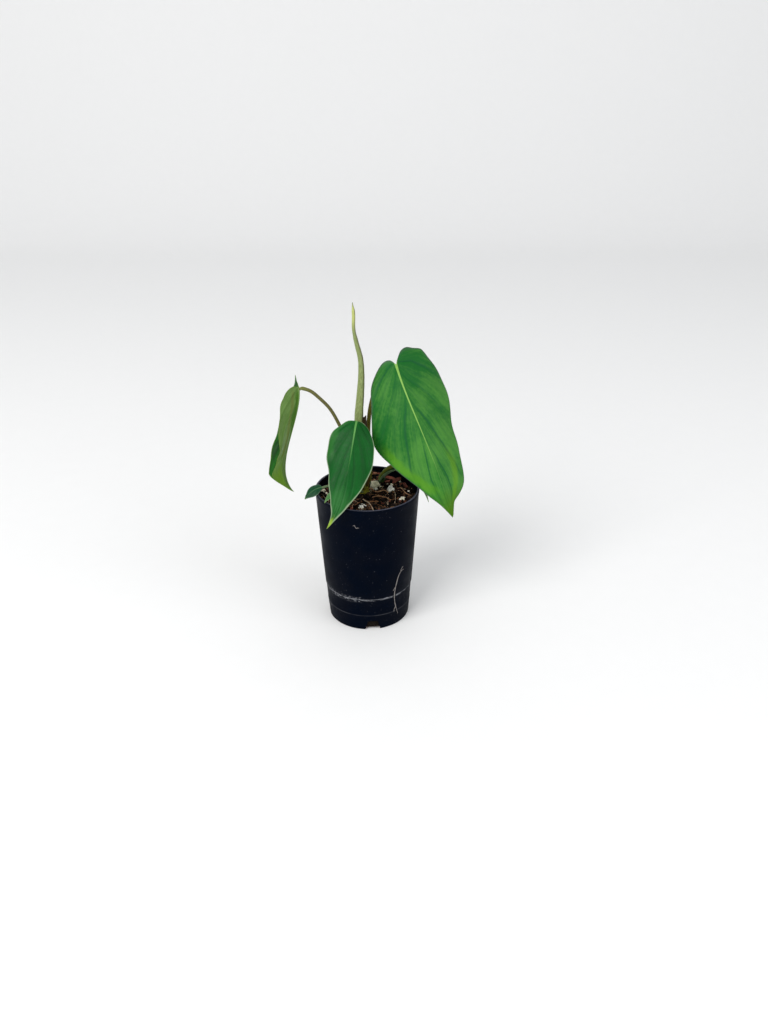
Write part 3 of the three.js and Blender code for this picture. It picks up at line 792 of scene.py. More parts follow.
@dataclass(frozen=True)
class PotFinish(Finish):
    """Black plastic with a fine grain, dust and chalky scuffs along its step, a pale step line that is partly
    chalk and partly painted highlight, and a painted highlight along the top of its lip.
    """

    name: str = "pot_plastic"
    ground: Colour = (0, 5, 18)
    dust: Colour = (12, 13, 19)
    # the chalk colour also paints the highlight on the step's edge
    chalk_and_highlight: Colour = (150, 152, 158)
    # the painted highlight along the top of the lip
    rim_highlight: Colour = (74, 76, 88)
    inside: Colour = (5, 4, 3)
    rust: Colour = (170, 86, 42)
    top: float = 112.5
    step: float = 30.0
    low_ring: float = 14.0
    scuffed: tuple[float, float] = (-34.0, -5.0)
    roughness: float = 0.4
    specular: ClassVar[float] = 0.02

    def paint(self, nodes: Nodes, effects: Effects) -> tuple:
        """Returns the colour, the roughness and the relief's height."""
        place = nodes.place()
        x, y, height = (part / MM for part in nodes.split(place))
        cloud = nodes.group(effects.cloud, place, 60.0)[0]
        # chalk marks, with a painted highlight on the step line
        chalk_and_step_highlight = self.marks(nodes, place, (x, y, height), cloud).least(0.9)
        colour = nodes.mix(chalk_and_step_highlight, nodes.mix(cloud * 0.3, self.ground, self.dust), self.chalk_and_highlight)
        # painted highlight along the top of the lip
        lip = height.span(self.top - 0.25, self.top - 0.02)
        colour = nodes.mix(lip * (cloud * 0.4 + 0.5), colour, self.rim_highlight)
        within = ((x * x + y * y).root() - (height * 0.066 + 32.3)).span(0.2, -0.3)
        colour = nodes.mix(within * height.span(self.top - 0.6, self.top - 2.0), colour, self.inside)
        colour = nodes.mix(within * height.span(9.5, 7.5) * (cloud * 0.4 + 0.6), colour, self.rust)
        waves = nodes.noise(nodes.stretched((1.0, 1.0, 0.4)), 30.0, 1.0)
        rough = cloud * 0.12 + chalk_and_step_highlight * 0.3 + self.roughness
        return colour, rough, waves * 3.0 + nodes.noise(place, 2600.0, 2.0) * 0.25

    def marks(self, nodes: Nodes, place: Value, spot: Sequence[Value], cloud: Value) -> Value:
        """Returns how chalky the wall is: lines on its rings, rubbed scuffs and specks; the line all round
        the step is partly chalk and partly painted highlight.
        """
        x, y, height = spot
        level = nodes.noise(place, 90.0, 2.0) * 1.6 + (height - (self.step + 0.3))
        rubbed = nodes.noise(nodes.stretched((1.0, 1.0, 2.5)), 210.0, 6.0, 0.72).span(0.46, 0.62)
        ring = abs(level).span(1.5, 0.2) * rubbed
        # a pale line all round the step: partly chalk, partly painted highlight on its edge
        line = abs(height - self.step).span(0.6, 0.15)
        first, last = self.scuffed
        patch = x.span(first - 2, first + 6) * x.span(last + 3, last - 3) * y.span(0.0, -6.0)
        smear = nodes.noise(nodes.stretched((1.0, 1.0, 1.7)), 420.0, 5.0, 0.8).span(0.51, 0.6)
        scuff = patch * abs(level - 0.2).span(3.6, 1.6) * smear
        low = abs(height - self.low_ring).span(0.6, 0.1) * (cloud * 0.09 + 0.03)
        specks = nodes.noise(place, 900.0, 1.0).span(0.72, 0.78) * cloud
        return scuff * 0.6 + ring * 0.6 + line * 0.34 + low + specks * 0.2


@dataclass(frozen=True)
class GritFinish(Finish):
    """The colours of the mix or of what lies in it, told apart by the "tone" attribute, with painted shade in
    its pits.
    """

    tones: tuple[Colour, ...]
    roughness: float = 0.85
    grain: float = 900.0
    stretch: tuple[float, float, float] = (1.0, 1.0, 1.0)
    relief: float = 0.6
    varied: bool = True
    specular: ClassVar[float] = 0.12

    def paint(self, nodes: Nodes, effects: Effects) -> tuple:
        """Returns the colour, the roughness and the relief's height."""
        place = nodes.stretched(self.stretch)
        fine = nodes.noise(place, self.grain, 5.0, 0.65)
        tone = nodes.take("Fac", "Attribute", attribute_name="tone") if self.varied else 0.4
        ramp = nodes.add("ValToRGB", {0: (fine - 0.5) * 1.1 + tone})
        points = ramp.color_ramp.elements
        while len(points) < len(self.tones):
            points.new(0.5)
        for i, tone_colour in enumerate(self.tones):
            points[i].position = i / (len(self.tones) - 1)
            points[i].color = linear(tone_colour)
        pits = nodes.group(effects.cloud, place, self.grain * 0.45)[0]
        # painted shade in the pits, which the relief sinks too
        hollow_shade = (1.0 - pits) * 0.35
        colour = nodes.mix(hollow_shade, Value(nodes, ramp.outputs[0]), linear(self.tones[0], 0.35))
        return colour, fine * 0.2 + (self.roughness - 0.1), fine + pits


@dataclass(frozen=True)
class FloorFinish(Finish):
    """Plain pale paint with a grain that hardly shows."""

    name: str = "floor_paint"
    pale: Colour = (240, 240, 240)

    def paint(self, nodes: Nodes, effects: Effects) -> tuple:
        """Returns the colour and the roughness."""
        grain = nodes.noise(nodes.place(), 60.0, 2.0)
        return nodes.mix(grain, linear(self.pale, 0.985), self.pale), 0.8, None


RIGHT_LEAF = LeafFinish(
    name="leaf_bright", dark=(10, 92, 26), light=(66, 126, 46), rib=(132, 176, 84), groove_shade=(4, 78, 38),
    margin=(70, 80, 72), tip=(66, 108, 0), under=(92, 130, 70), under_rib=(134, 166, 96),
    tip_start=0.86, rib_end=0.94, rib_width=0.8, bands=0.54, lower_light=0.4,
    streaks=(
        Streak(Side.LEFT, Measure.FROM_MARGIN, 4.6, 4.6, 0.46, 0.92, (82, 142, 4), 0.52),
        Streak(Side.LEFT, Measure.FROM_MARGIN, 0.0, 2.4, 0.36, 0.96, (18, 100, 0), 0.75),
        Streak(Side.RIGHT, Measure.ACROSS, 0.62, 0.18, 0.64, 1.0, (92, 142, 10), 0.55),
        Streak(Side.LEFT, Measure.FROM_MARGIN, 0.0, 2.2, -0.2, 0.42, (62, 96, 66), 0.5),
        Streak(Side.RIGHT, Measure.FROM_MARGIN, 0.0, 2.2, -0.2, 0.5, (62, 96, 66), 0.5),
    ),
)
FRONT_LEAF = LeafFinish(
    name="leaf_deep", dark=(0, 70, 16), light=(4, 86, 24), rib=(88, 144, 72), margin=(132, 152, 120),
    groove_shade=(2, 60, 22), grooves=0.45, tip=(152, 182, 54), under=(92, 130, 84), under_rib=(134, 166, 104),
    tip_start=0.93, rib_end=0.68, rib_width=0.75, bands=0.7, margin_width=0.9,
    streaks=(
        Streak(Side.LEFT, Measure.ACROSS, 0.5, 0.75, 0.66, 1.0, (48, 112, 50), 0.5),
        Streak(Side.RIGHT, Measure.ACROSS, 0.5, 0.75, 0.68, 1.0, (48, 112, 50), 0.45),
        Streak(Side.LEFT, Measure.FROM_MARGIN, 2.0, 5.0, -0.2, 0.5, (44, 106, 42), 0.6),
        Streak(Side.RIGHT, Measure.FROM_MARGIN, 0.0, 1.1, 0.45, 1.0, (150, 168, 136), 0.65),
    ),
)
LEFT_LEAF = LeafFinish(
    name="leaf_underside", dark=(4, 54, 0), light=(24, 94, 12), rib=(92, 124, 60), groove_shade=(4, 42, 4),
    margin=(104, 130, 48), tip=(96, 134, 26), under=(82, 116, 50), under_rib=(116, 146, 82),
    tip_start=0.84, bands=0.9, margin_width=0.7,
    streaks=(
        # the first streak is painted shade: the darker green strip beside the midrib, where the half turns
        # away from the light
        Streak(Side.RIGHT, Measure.FROM_RIB, 1.2, 4.2, 0.02, 0.62, (58, 102, 10), 0.85),
        Streak(Side.RIGHT, Measure.FROM_RIB, 6.2, 2.2, 0.05, 0.75, (98, 104, 40), 0.5),
        Streak(Side.RIGHT, Measure.ACROSS, 0.8, 0.5, 0.7, 1.05, (104, 144, 40), 0.85),
    ),
)
SMALL_LEAF = LeafFinish(
    name="leaf_small_deep", dark=(4, 52, 24), light=(20, 78, 46), rib=(70, 108, 66), groove_shade=(4, 42, 20),
    margin=(110, 128, 110), tip=(70, 110, 50), under=(92, 120, 84), under_rib=(124, 144, 110),
    bands=0.8, tip_start=0.95, rib_end=1.1, rib_width=0.35, margin_width=0.6,
)
STRAP_LEAF = LeafFinish(
    name="leaf_strap", dark=(12, 70, 28), light=(36, 98, 52), rib=(20, 76, 36), groove_shade=(4, 46, 18),
    margin=(150, 172, 128), tip=(130, 160, 104), under=(104, 132, 96), under_rib=(124, 148, 112),
    bands=0.8, tip_start=0.86, rib_end=1.1, rib_width=0.2, margin_width=1.0,
    streaks=(
        Streak(Side.RIGHT, Measure.FROM_MARGIN, 0.6, 3.4, -0.2, 0.7, (150, 146, 56), 0.9),
        Streak(Side.LEFT, Measure.FROM_MARGIN, 0.0, 2.4, -0.2, 0.7, (124, 164, 112), 0.8),
    ),
)
PALE_LEAF = LeafFinish(
    name="leaf_pale", dark=(58, 112, 58), light=(88, 138, 76), rib=(130, 160, 96), groove_shade=(50, 98, 52),
    margin=(122, 146, 104), tip=(110, 146, 74), under=(100, 130, 84), under_rib=(130, 152, 104),
    bands=0.6, tip_start=0.9, rib_width=0.3, margin_width=0.4,
)
DRY_SKIN = LeafFinish(
    name="dry_sheath", dark=(34, 26, 0), light=(92, 76, 10), rib=(84, 64, 22), groove_shade=(14, 8, 2),
    margin=(44, 32, 8), tip=(36, 24, 4), under=(56, 42, 8), under_rib=(88, 70, 24), bands=0.8,
    rib_width=0.3, roughness=0.7,
)
OLIVE_STALK = StalkFinish("stalk_olive", (98, 98, 50), (72, 62, 26), (98, 98, 34), (104, 110, 52))
DARK_STALK = StalkFinish("stalk_dark_olive", (116, 108, 26), (86, 74, 12), (100, 98, 20), (130, 168, 84),
                         ends=0.91)
GREEN_STALK = StalkFinish("stalk_green", (90, 98, 40), (72, 72, 28), (98, 98, 24), (84, 136, 66))
PALE_STALK = StalkFinish("stalk_pale", (100, 120, 84), (76, 96, 60), (92, 98, 34), (104, 128, 90))
STRAP_STALK = StalkFinish("stalk_strap", (40, 66, 22), (22, 44, 12), (88, 92, 24), (30, 64, 26))
STEM_SKIN = StalkFinish("stem_skin", (122, 122, 22), (84, 66, 14), (80, 50, 20), (106, 108, 30), 0.6, 0.6)
ROOT_SKIN = StalkFinish("root_skin", (148, 128, 92), (112, 86, 56), (130, 108, 74), (156, 140, 108), 0.75,
                        0.7)
MIX_GROUND = GritFinish("mix_ground", ((6, 4, 3), (26, 19, 14), (74, 52, 38)), 0.95, 1100.0, relief=0.9,
                        varied=False)
CRUMB_SKIN = GritFinish("mix_crumb", ((6, 4, 4), (24, 17, 13), (62, 44, 32), (118, 84, 60)), 0.9)
BARK_SKIN = GritFinish("bark", ((24, 10, 8), (84, 42, 30), (128, 70, 56), (168, 120, 92)), 0.75, 420.0,
                       (1.0, 0.35, 1.0), 0.8)
PERLITE_SKIN = GritFinish("perlite", ((128, 126, 102), (190, 184, 156), (244, 234, 208), (255, 253, 246)),
                          0.8, 800.0, relief=0.5)
FIBRE_SKIN = GritFinish("fibre", ((84, 50, 30), (132, 86, 54), (172, 132, 100), (220, 204, 180)), 0.7, 1500.0)


# Leaves


@dataclass(frozen=True)
class Half:
    """One half of a blade drawn flat: half-width and place along the midrib, then folds."""

    outline: tuple[tuple[float, float], ...]
    fold: tuple[float, ...]
    curl: tuple[float, ...]


@dataclass(frozen=True)
class Blade:
    """A leaf blade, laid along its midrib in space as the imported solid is."""

    name: str
    # The midrib's two ends with its two handles between them.
    midrib: tuple[Point, Point, Point, Point]
    # Where the upper face looks at the base and at the tip.
    facing: tuple[Point, Point]
    # The half-width over which a half turns by its curl.
    roll_width: float
    left: Half
    right: Half
    finish: LeafFinish
    slot: str
    lobe_droop: float = 0.0
    pleated: bool = False
    rows: int = 180
    columns: int = 60
    half_thickness: float = 0.22
    edge_thickness: float = 0.11
    rib_height: float = 0.75
    rib_width: float = 1.1
    ripple: float = 0.0
    knob: float = 0.0
    solid: str = ""
    vein_starts: ClassVar[tuple[float, float]] = (-0.02, 0.03)
    vein_sweep: ClassVar[float] = 0.55
    vein_bend: ClassVar[float] = 0.55
    vein_gap: ClassVar[float] = 0.125
    vein_width: ClassVar[float] = 0.09
    pleat_height: ClassVar[float] = 1.56
    strong_share: ClassVar[float] = 0.85
    margin_wave: ClassVar[float] = 0.7
    slow_wave: ClassVar[float] = 0.3
    plain_wave: ClassVar[float] = 0.15
    end_fade: ClassVar[float] = 0.12
    middle_bend: ClassVar[float] = 1.5
    rib_rounding: ClassVar[float] = 1.6
    column_spread: ClassVar[float] = 1.45

    def edges(self) -> tuple[Line, Line]:
        """Returns the left and the right outline."""
        return spline_line(self.left.outline, even=True), spline_line(self.right.outline, even=True)

    def flat(self, along: np.ndarray, across: np.ndarray) -> tuple[np.ndarray, np.ndarray]:
        """Returns the flat blade's x and y at shares along and across it."""
        left, right = self.edges()
        edge = np.where((across > 0)[:, None], right.at(along), left.at(along))
        first, last = self.left.outline[0][1], self.left.outline[-1][1]
        middle = first + (last - first) * along**self.middle_bend
        return across * edge[:, 0], middle + (edge[:, 1] - middle) * np.abs(across)

    def place(self, x: np.ndarray, y: np.ndarray, lift: np.ndarray) -> np.ndarray:
        """Returns where the flat blade's x and y lie in space, lifted off its middle."""
        line = cubic_line(self.midrib)
        share = np.clip(y / line.length, 0.0, 1.0)
        forward = line.direction(share)
        base, tip = unit(np.array(self.facing, float))
        facing = unit(base + (tip - base) * share[:, None])
        sideways = unit(np.cross(facing, forward))
        up = np.cross(forward, sideways)
        over = x > 0
        fold = np.radians(np.where(over, eased(self.right.fold, share), eased(self.left.fold, share)))
        curl = np.where(over, eased(self.right.curl, share), eased(self.left.curl, share))
        roll = np.radians(curl) / self.roll_width
        slope = fold + roll * np.abs(x)
        out = (np.sin(slope) - np.sin(fold)) / roll
        rise = (np.cos(slope) - np.cos(fold)) / roll
        tilt = slope * np.minimum(np.abs(x) / self.rib_rounding, 1.0)
        droop = math.radians(self.lobe_droop)
        behind = np.minimum(y, 0.0)
        raised = behind * math.sin(droop) + rise + lift * np.cos(tilt)
        outward = np.sign(x) * (out + lift * np.sin(tilt))
        return (line.at(share) + forward * (behind * math.cos(droop))[:, None]
                + up * raised[:, None] + sideways * outward[:, None])

    def phase(self, along: np.ndarray, across: np.ndarray) -> np.ndarray:
        """Returns the place among the side veins: strong ones at even numbers, weak at odd."""
        left, right = self.vein_starts
        start = np.where(across > 0, right, left)
        return (along - start - self.vein_sweep * np.abs(across) ** self.vein_bend) / self.vein_gap

    def relief(self, along: np.ndarray, across: np.ndarray) -> np.ndarray:
        """Returns how far the pleats and the margin's waves lift the blade."""
        wide = np.abs(across)
        ends = np.minimum(np.minimum(along, 1 - along) / self.end_fade, 1.0)
        if not self.pleated:
            return self.plain_wave * wide * np.sin(2 * math.pi * 2.5 * along + across) * ends
        phase = self.phase(along, across)
        strong = ((1 - np.cos(math.pi * phase)) / 2) ** 0.75
        weak = (1 - np.cos(2 * math.pi * phase)) / 2
        folds = self.strong_share * strong + (1 - self.strong_share) * weak
        pleats = self.pleat_height * wide * (1 - across**2) * folds
        waves = self.margin_wave * across**4 * np.sin(2 * math.pi * 5 * along)
        slow = self.slow_wave * wide * np.sin(2 * math.pi * (1.7 * along + 0.6 * across) + 1.1)
        return (pleats + waves + slow * (1 - across**2)) * ends

    def build(self, effects: Effects) -> None:
        """Models the blade from a flat sheet with a thickness, and dresses it."""
        piece = flat_grid("leaf_" + self.name, self.columns, self.rows)
        apply_modifier(piece, "SOLIDIFY", thickness=0.02, offset=-1.0)
        sheet = read_points(piece)
        face = np.where(sheet[:, 2] > -0.01, 1.0, -1.0)
        along = np.clip((sheet[:, 1] + 1) / 2, 0.0, 1.0)
        across = np.sign(sheet[:, 0]) * np.abs(sheet[:, 0]) ** self.column_spread
        x, y = self.flat(along, across)
        width = np.maximum(np.abs(x) / np.maximum(np.abs(across), 0.02), 0.01)
        margin = (1 - np.abs(across)) * width
        thick = self.edge_thickness + (self.half_thickness - self.edge_thickness) * np.clip(margin / 3, 0, 1)
        taper = np.sin(math.pi * np.minimum(along + 0.15, 1.0))
        reach = self.rib_width * (1.05 - 0.75 * along)
        rib = np.exp(-((x / reach) ** 2))
        phase = self.phase(along, across)
        near = np.abs(phase - np.rint(phase)) / self.vein_width
        side_rib = np.exp(-(near**2)) * np.clip(np.abs(across) * 6 - 0.3, 0, 1) * (1 - across**4)
        under = self.rib_height * taper * rib + (0.12 * side_rib if self.pleated else 0.0)
        knob = self.knob * np.exp(-((x / 1.5) ** 2) - ((y - 1.2) / 2.4) ** 2)
        upper = knob - 0.12 * rib * taper - (0.1 * side_rib if self.pleated else 0.0)
        crinkle = self.ripple * np.sin(along * 95 + 3 * across) * np.sin(across * 7 + along * 31)
        lift = self.relief(along, across) + crinkle + np.where(face > 0, thick + upper, -thick - under)
        write_points(piece, self.place(x, y, lift))
        write_vector(piece, "vein", phase, across, face)
        write_vector(piece, "edge", margin, along, x)
        close_up(piece, 60.0)
        settle(piece, self.finish.make(effects), self.slot, self.solid or "blade_" + self.name)


RIGHT_BLADE = Blade(
    name="right", slot="leaf_bright", finish=RIGHT_LEAF,
    midrib=((23, 8, 208), (31, -2, 182), (51, -26, 152), (65, -32, 102)),
    facing=((-0.25, -0.8, 0.55), (-0.1, -0.9, 0.35)), roll_width=34, lobe_droop=10, pleated=True,
    left=Half(((0, -1.5), (4, -6), (10, -5.5), (17, 0), (24, 7.5), (29, 19), (35, 31), (39.5, 45), (38, 57),
               (31, 70), (23, 84.5), (15, 96.5), (7, 108.5), (2.2, 117), (0, 121.5)),
              (6, 6, 6), (12, 14, 10)),
    right=Half(((0, -1.5), (2.5, -5.8), (6.6, -10.7), (12, -12.4), (18.5, -10.7), (25.2, -8.8), (27.7, -5.6),
                (30.4, 0.2), (36, 9.2), (38.8, 17.5), (39, 28), (35, 44), (29.5, 60), (26.5, 76), (23.8, 89),
                (19, 99.5), (12.3, 106), (6, 110.2), (3.4, 115), (1.3, 119.8), (0, 121.5)),
               (38, 38, 32), (14, 16, 10)),
    rows=240, columns=96, knob=0.7,
)
FRONT_BLADE = Blade(
    name="front", slot="leaf_deep", finish=FRONT_LEAF,
    midrib=((-7, -8, 171), (-9, -21, 169), (-13.8, -37, 120.5), (-30, -50, 102)),
    facing=((0.05, -0.85, 0.55), (-0.15, -0.8, 0.5)), roll_width=17, pleated=True,
    left=Half(((0, -0.6), (6, 0), (12, 4), (17, 10), (19.5, 20), (19.2, 30), (16, 41), (11.5, 54.5), (7, 65),
               (3, 72), (1.3, 79), (0, 85)), (14, 12, 10), (10, 12, 8)),
    right=Half(((0, -0.6), (5, -1.6), (10, 2.5), (14.5, 12), (17.5, 21), (17.8, 32), (15.5, 44), (10.5, 56.5),
                (5.5, 68), (2.2, 76.5), (0, 85)), (14, 12, 10), (10, 12, 8)),
)
LEFT_BLADE = Blade(
    name="left", slot="leaf_underside", finish=LEFT_LEAF,
    midrib=((-50, 4, 192), (-50, 2, 168), (-74, 0, 130), (-58, 0, 109)),
    facing=((-0.95, -0.25, 0), (-0.95, -0.35, 0)), roll_width=17, pleated=True,
    left=Half(((0, -1.5), (2.4, -4), (3.6, -7.5), (4.6, -10.2), (6.6, -6), (9.4, 0), (15, 5), (17.8, 12),
               (19, 22), (18.7, 32), (17.7, 42), (15.3, 51), (13.2, 60), (14, 67.3), (13.9, 70.5),
               (8.9, 74.8), (4.1, 79.8), (0, 86)),
              (-16, -12, -16, -48, -58), (-10, -8, -8, -13, -18)),
    right=Half(((0, -1.5), (5, -3), (11.5, 0), (14.5, 5), (17, 12), (17.9, 22), (17.6, 32), (17.3, 42),
                (13.2, 51), (11.8, 58), (16, 64.5), (12.2, 69.5), (7.1, 75), (2.7, 81), (0, 86)),
               (-60, -45, -29, -46, -44), (-12, -16, -16, -15, -13)),
    rows=220, columns=72,
)
SMALL_LEFT_HALF = Half(((0, -0.4), (3, 1.5), (5.2, 5.8), (4.6, 10), (2.4, 13.8), (0, 17)), (8, 8), (8, 8))
SMALL_LEFT_BLADE = Blade(
    name="small_left", slot="leaf_deep", finish=SMALL_LEAF,
    midrib=((-34.7, -11, 118), (-40.2, -12.1, 117.8), (-44.7, -13.6, 114.3), (-48.1, -14.6, 109.5)),
    facing=((-0.2, -0.5, 0.85), (-0.6, -0.6, 0.55)), roll_width=5, left=SMALL_LEFT_HALF,
    right=Half(((0, -0.4), (2.6, 1.5), (4.8, 5.8), (4.4, 10), (2.3, 13.8), (0, 17)), (8, 8), (8, 8)),
    rows=50, columns=24, rib_height=0.35, rib_width=0.6,
)
STRAP_HALF = Half(((0, -0.5), (3, 2.6), (4.8, 9.3), (5.8, 20.6), (5.8, 33.9), (3.8, 46.3), (1.6, 54.5),
                   (0, 61.2)), (-58, -50, -40), (-8, -8, -8))
SMALL_RIGHT_BLADE = Blade(
    name="small_right", slot="leaf_deep", finish=STRAP_LEAF,
    midrib=((9.5, 16.5, 109.3), (17, 17, 119), (33, 14, 134), (47.6, -14, 106)),
    facing=((-0.5, -0.25, 0.8), (0.7, -0.6, 0.4)), roll_width=9, left=STRAP_HALF, right=STRAP_HALF,
    rows=110, columns=28, rib_height=0.5, rib_width=0.8,
)
SLIP_HALF = Half(((0, -0.4), (2.4, 1.5), (3.8, 7), (2.8, 13), (1.2, 16.8), (0, 19.5)), (12, 12), (6, 6))
SMALL_FRONT_BLADE = Blade(
    name="small_front", slot="leaf_pale", finish=PALE_LEAF,
    midrib=((-19.3, -15.3, 117), (-24, -19.5, 119.5), (-29, -24, 118.5), (-32, -27.2, 112.4)),
    facing=((-0.2, -0.2, 0.95), (-0.5, -0.5, 0.7)), roll_width=4, left=SLIP_HALF, right=SLIP_HALF,
    rows=50, columns=24, rib_height=0.35, rib_width=0.5,
)
BLADES = (RIGHT_BLADE, FRONT_BLADE, LEFT_BLADE, SMALL_LEFT_BLADE, SMALL_RIGHT_BLADE, SMALL_FRONT_BLADE)
SHEATH_HALVES = (
    Half(((0, -0.3), (2.2, 0.5), (2.6, 10), (2.6, 34), (4.4, 50), (5, 57), (4, 60.3), (0, 61)),
         (14, 14), (16, 16)),
    Half(((0, -0.3), (2.2, 0.5), (2.6, 12), (2.4, 34), (2, 48), (1.8, 57), (1.2, 60.3), (0, 61)),
         (14, 14), (16, 16)),
)
SHEATH = Blade(
    name="sheath", solid="dry_sheath", slot="dry_sheath", finish=DRY_SKIN,
    midrib=((0.6, 1.8, 111), (2.4, 0.7, 132), (0.6, 2.4, 152), (-1.4, 3.6, 170)),
    facing=((0.75, -0.65, 0), (0.8, -0.6, 0)), roll_width=3, left=SHEATH_HALVES[0], right=SHEATH_HALVES[1],
    rows=120, columns=20, half_thickness=0.2, rib_height=0.1, rib_width=0.5, ripple=0.22,
)


# Stalks, stem, roots and the rolled leaf


@dataclass(frozen=True)
class Stalk:
    """A leaf's stalk, from the middle of the stem up to the underside of its blade."""

    blade: Blade
    path: tuple[Point, ...]
    # The radius where it clasps the stem, low down, high up and at its knee.
    radii: tuple[float, float, float, float]
    finish: StalkFinish
    slot: str
    rows: int = 110
    joint_along: float = 1.5
    joint_below: float = 1.9
    run_out: float = 5.0
    end_below: float = 1.1
    clasp_fade: float = 9.0
    knee_fade: float = 14.0

    def radius(self, share: np.ndarray) -> np.ndarray:
        """Returns the radius: wider where it clasps the stem and at its knee."""
        clasp, lower, upper, joint = self.radii
        plain = lower + (upper - lower) * share
        foot = (clasp - lower) * np.exp(-share * self.clasp_fade)
        knee = (joint - upper) * np.exp(-(1 - share) * self.knee_fade)
        return (plain + foot + knee) * (1 - 0.55 * np.clip((share - 0.97) / 0.03, 0, 1))

    def build(self, effects: Effects) -> None:
        """Models the stalk and dresses it."""
        spots = np.array([self.joint_along, self.joint_along + self.run_out])
        lifts = np.array([-self.joint_below, -self.end_below])
        ends = self.blade.place(np.zeros(2), spots, lifts)
        line = spline_line([*self.path, *ends.tolist()])

        def section(turn: np.ndarray, share: np.ndarray) -> np.ndarray:
            """Returns a slightly ribbed section that is flattened on one side."""
            angle = 2 * math.pi * turn
            return 1 + 0.02 * np.cos(9 * angle) - 0.05 * np.maximum(np.cos(angle + 2 * share), 0) ** 2

        piece = make_tube("stalk_" + self.blade.name, line, self.radius, 28, self.rows, section)
        settle(piece, self.finish.make(effects), self.slot, "petiole_" + self.blade.name)


STALKS = (
    Stalk(RIGHT_BLADE, ((-2.5, 4, 110.5), (1.2, 8.8, 115.5), (2.2, 10.8, 125), (1.8, 11.5, 141),
                        (1.3, 12.5, 157), (2.7, 13.8, 172), (5.6, 15.3, 184), (10, 16.6, 195.5),
                        (15.2, 16.2, 202.5), (20.2, 13.4, 206)),
          (2.3, 1.8, 1.4, 1.8), DARK_STALK, "stalk_olive", joint_below=2.2, run_out=3.5, end_below=1.5),
    Stalk(FRONT_BLADE, ((-2.5, 4, 109.5), (-3.4, -1.6, 114), (-3.4, -3.6, 125), (-3.6, -4.1, 142),
                        (-4.6, -4.2, 157), (-6.3, -6.2, 166)),
          (2.0, 1.4, 1.3, 1.5), GREEN_STALK, "stalk_olive"),
    Stalk(LEFT_BLADE, ((-2.5, 4, 110.5), (-7.4, 6.4, 115), (-9.6, 6.8, 125), (-14, 7.5, 144),
                       (-21.5, 8, 163.4), (-27.6, 8, 175.1), (-34.7, 7, 183.6), (-42, 6, 190.2)),
          (2.1, 1.35, 1.3, 1.5), OLIVE_STALK, "stalk_olive", joint_along=-0.6, joint_below=1.1,
          run_out=1.4, end_below=0.9),
    Stalk(SMALL_LEFT_BLADE, ((-2.5, 4, 107.5), (-8.5, 1.8, 112), (-16, -2.5, 116.5), (-26, -8, 118.5)),
          (1.7, 1.0, 0.9, 0.9), PALE_STALK, "stalk_pale", rows=60, joint_below=0.8, run_out=3.0,
          end_below=0.6),
    Stalk(SMALL_RIGHT_BLADE, ((-2.5, 4, 107.5), (0.3, 10, 108.6), (4, 15.8, 108.8)),
          (1.7, 1.4, 1.3, 1.3), STRAP_STALK, "stalk_pale", rows=40, joint_below=1.2, run_out=4.0,
          end_below=0.8),
    Stalk(SMALL_FRONT_BLADE, ((-2.5, 4, 106.8), (-6, -2, 110), (-13, -9, 114)),
          (1.6, 1.0, 0.9, 0.9), PALE_STALK, "stalk_pale", rows=50, joint_below=0.8, run_out=3.0,
          end_below=0.6),
)


@dataclass(frozen=True)
class RolledLeaf:
    """The newest leaf, still rolled to a spike, with its edge lapping round it."""

    path: tuple[Point, ...] = (
        (-2.5, 4, 116.6), (-3.4, 4.4, 130), (-5.6, 5, 155), (-5.5, 5, 170), (-4.2, 5, 188), (-3.3, 5, 204),
        (-3.7, 5, 215), (-6.4, 5, 227), (-8.2, 5, 237), (-8.1, 5, 248), (-8.7, 5, 256.5))
    radii: tuple[float, ...] = (2.4, 2.45, 2.5, 2.75, 3, 3.3, 3.5, 3.5, 3.4, 3.1, 2.85, 2.6, 2.35, 2.15, 1.95,
                                1.8, 1.6, 1.25, 1.2, 1.2, 0.25)
    lap: float = 0.16
    twist: float = 0.55
    lap_turn: float = 0.42
    sunk: float = 2.0

    def build(self, effects: Effects) -> None:
        """Models the spike and dresses it."""
        foot = (self.path[0][0], self.path[0][1], self.path[0][2] - self.sunk)
        line = spline_line((foot, *self.path))

        def section(turn: np.ndarray, share: np.ndarray) -> np.ndarray:
            """Returns a section that winds outwards to the lapping edge."""
            return 1 + self.lap * (turn - 0.5)

        piece = make_tube("spike", line, lambda share: eased(self.radii, share), 40, 220, section, True)
        self.turn_lap(piece, line)
        settle(piece, SpikeFinish().make(effects), "rolled_leaf", "rolled_leaf")

    def turn_lap(self, piece: bpy.types.Object, line: Line) -> None:
        """Turns each ring round the spike's line, so that the lap winds up it."""
        points = read_points(piece) / MM
        share = np.empty(len(points) * 3)
        piece.data.attributes["place"].data.foreach_get("vector", share)
        share = share.reshape(-1, 3)[:, 0]
        centre, axis = line.at(share), line.direction(share)
        angle = 2 * math.pi * (self.lap_turn + self.twist * share)[:, None]
        arm = points - centre
        turned = (arm * np.cos(angle) + np.cross(axis, arm) * np.sin(angle)
                  + axis * np.sum(axis * arm, axis=1, keepdims=True) * (1 - np.cos(angle)))
        write_points(piece, centre + turned)
        # how far each spot faces to the right, for the painted shade on the spike's right flank
        side = unit(turned)[:, 0]
        write_vector(piece, "side", side, np.zeros_like(side), np.zeros_like(side))


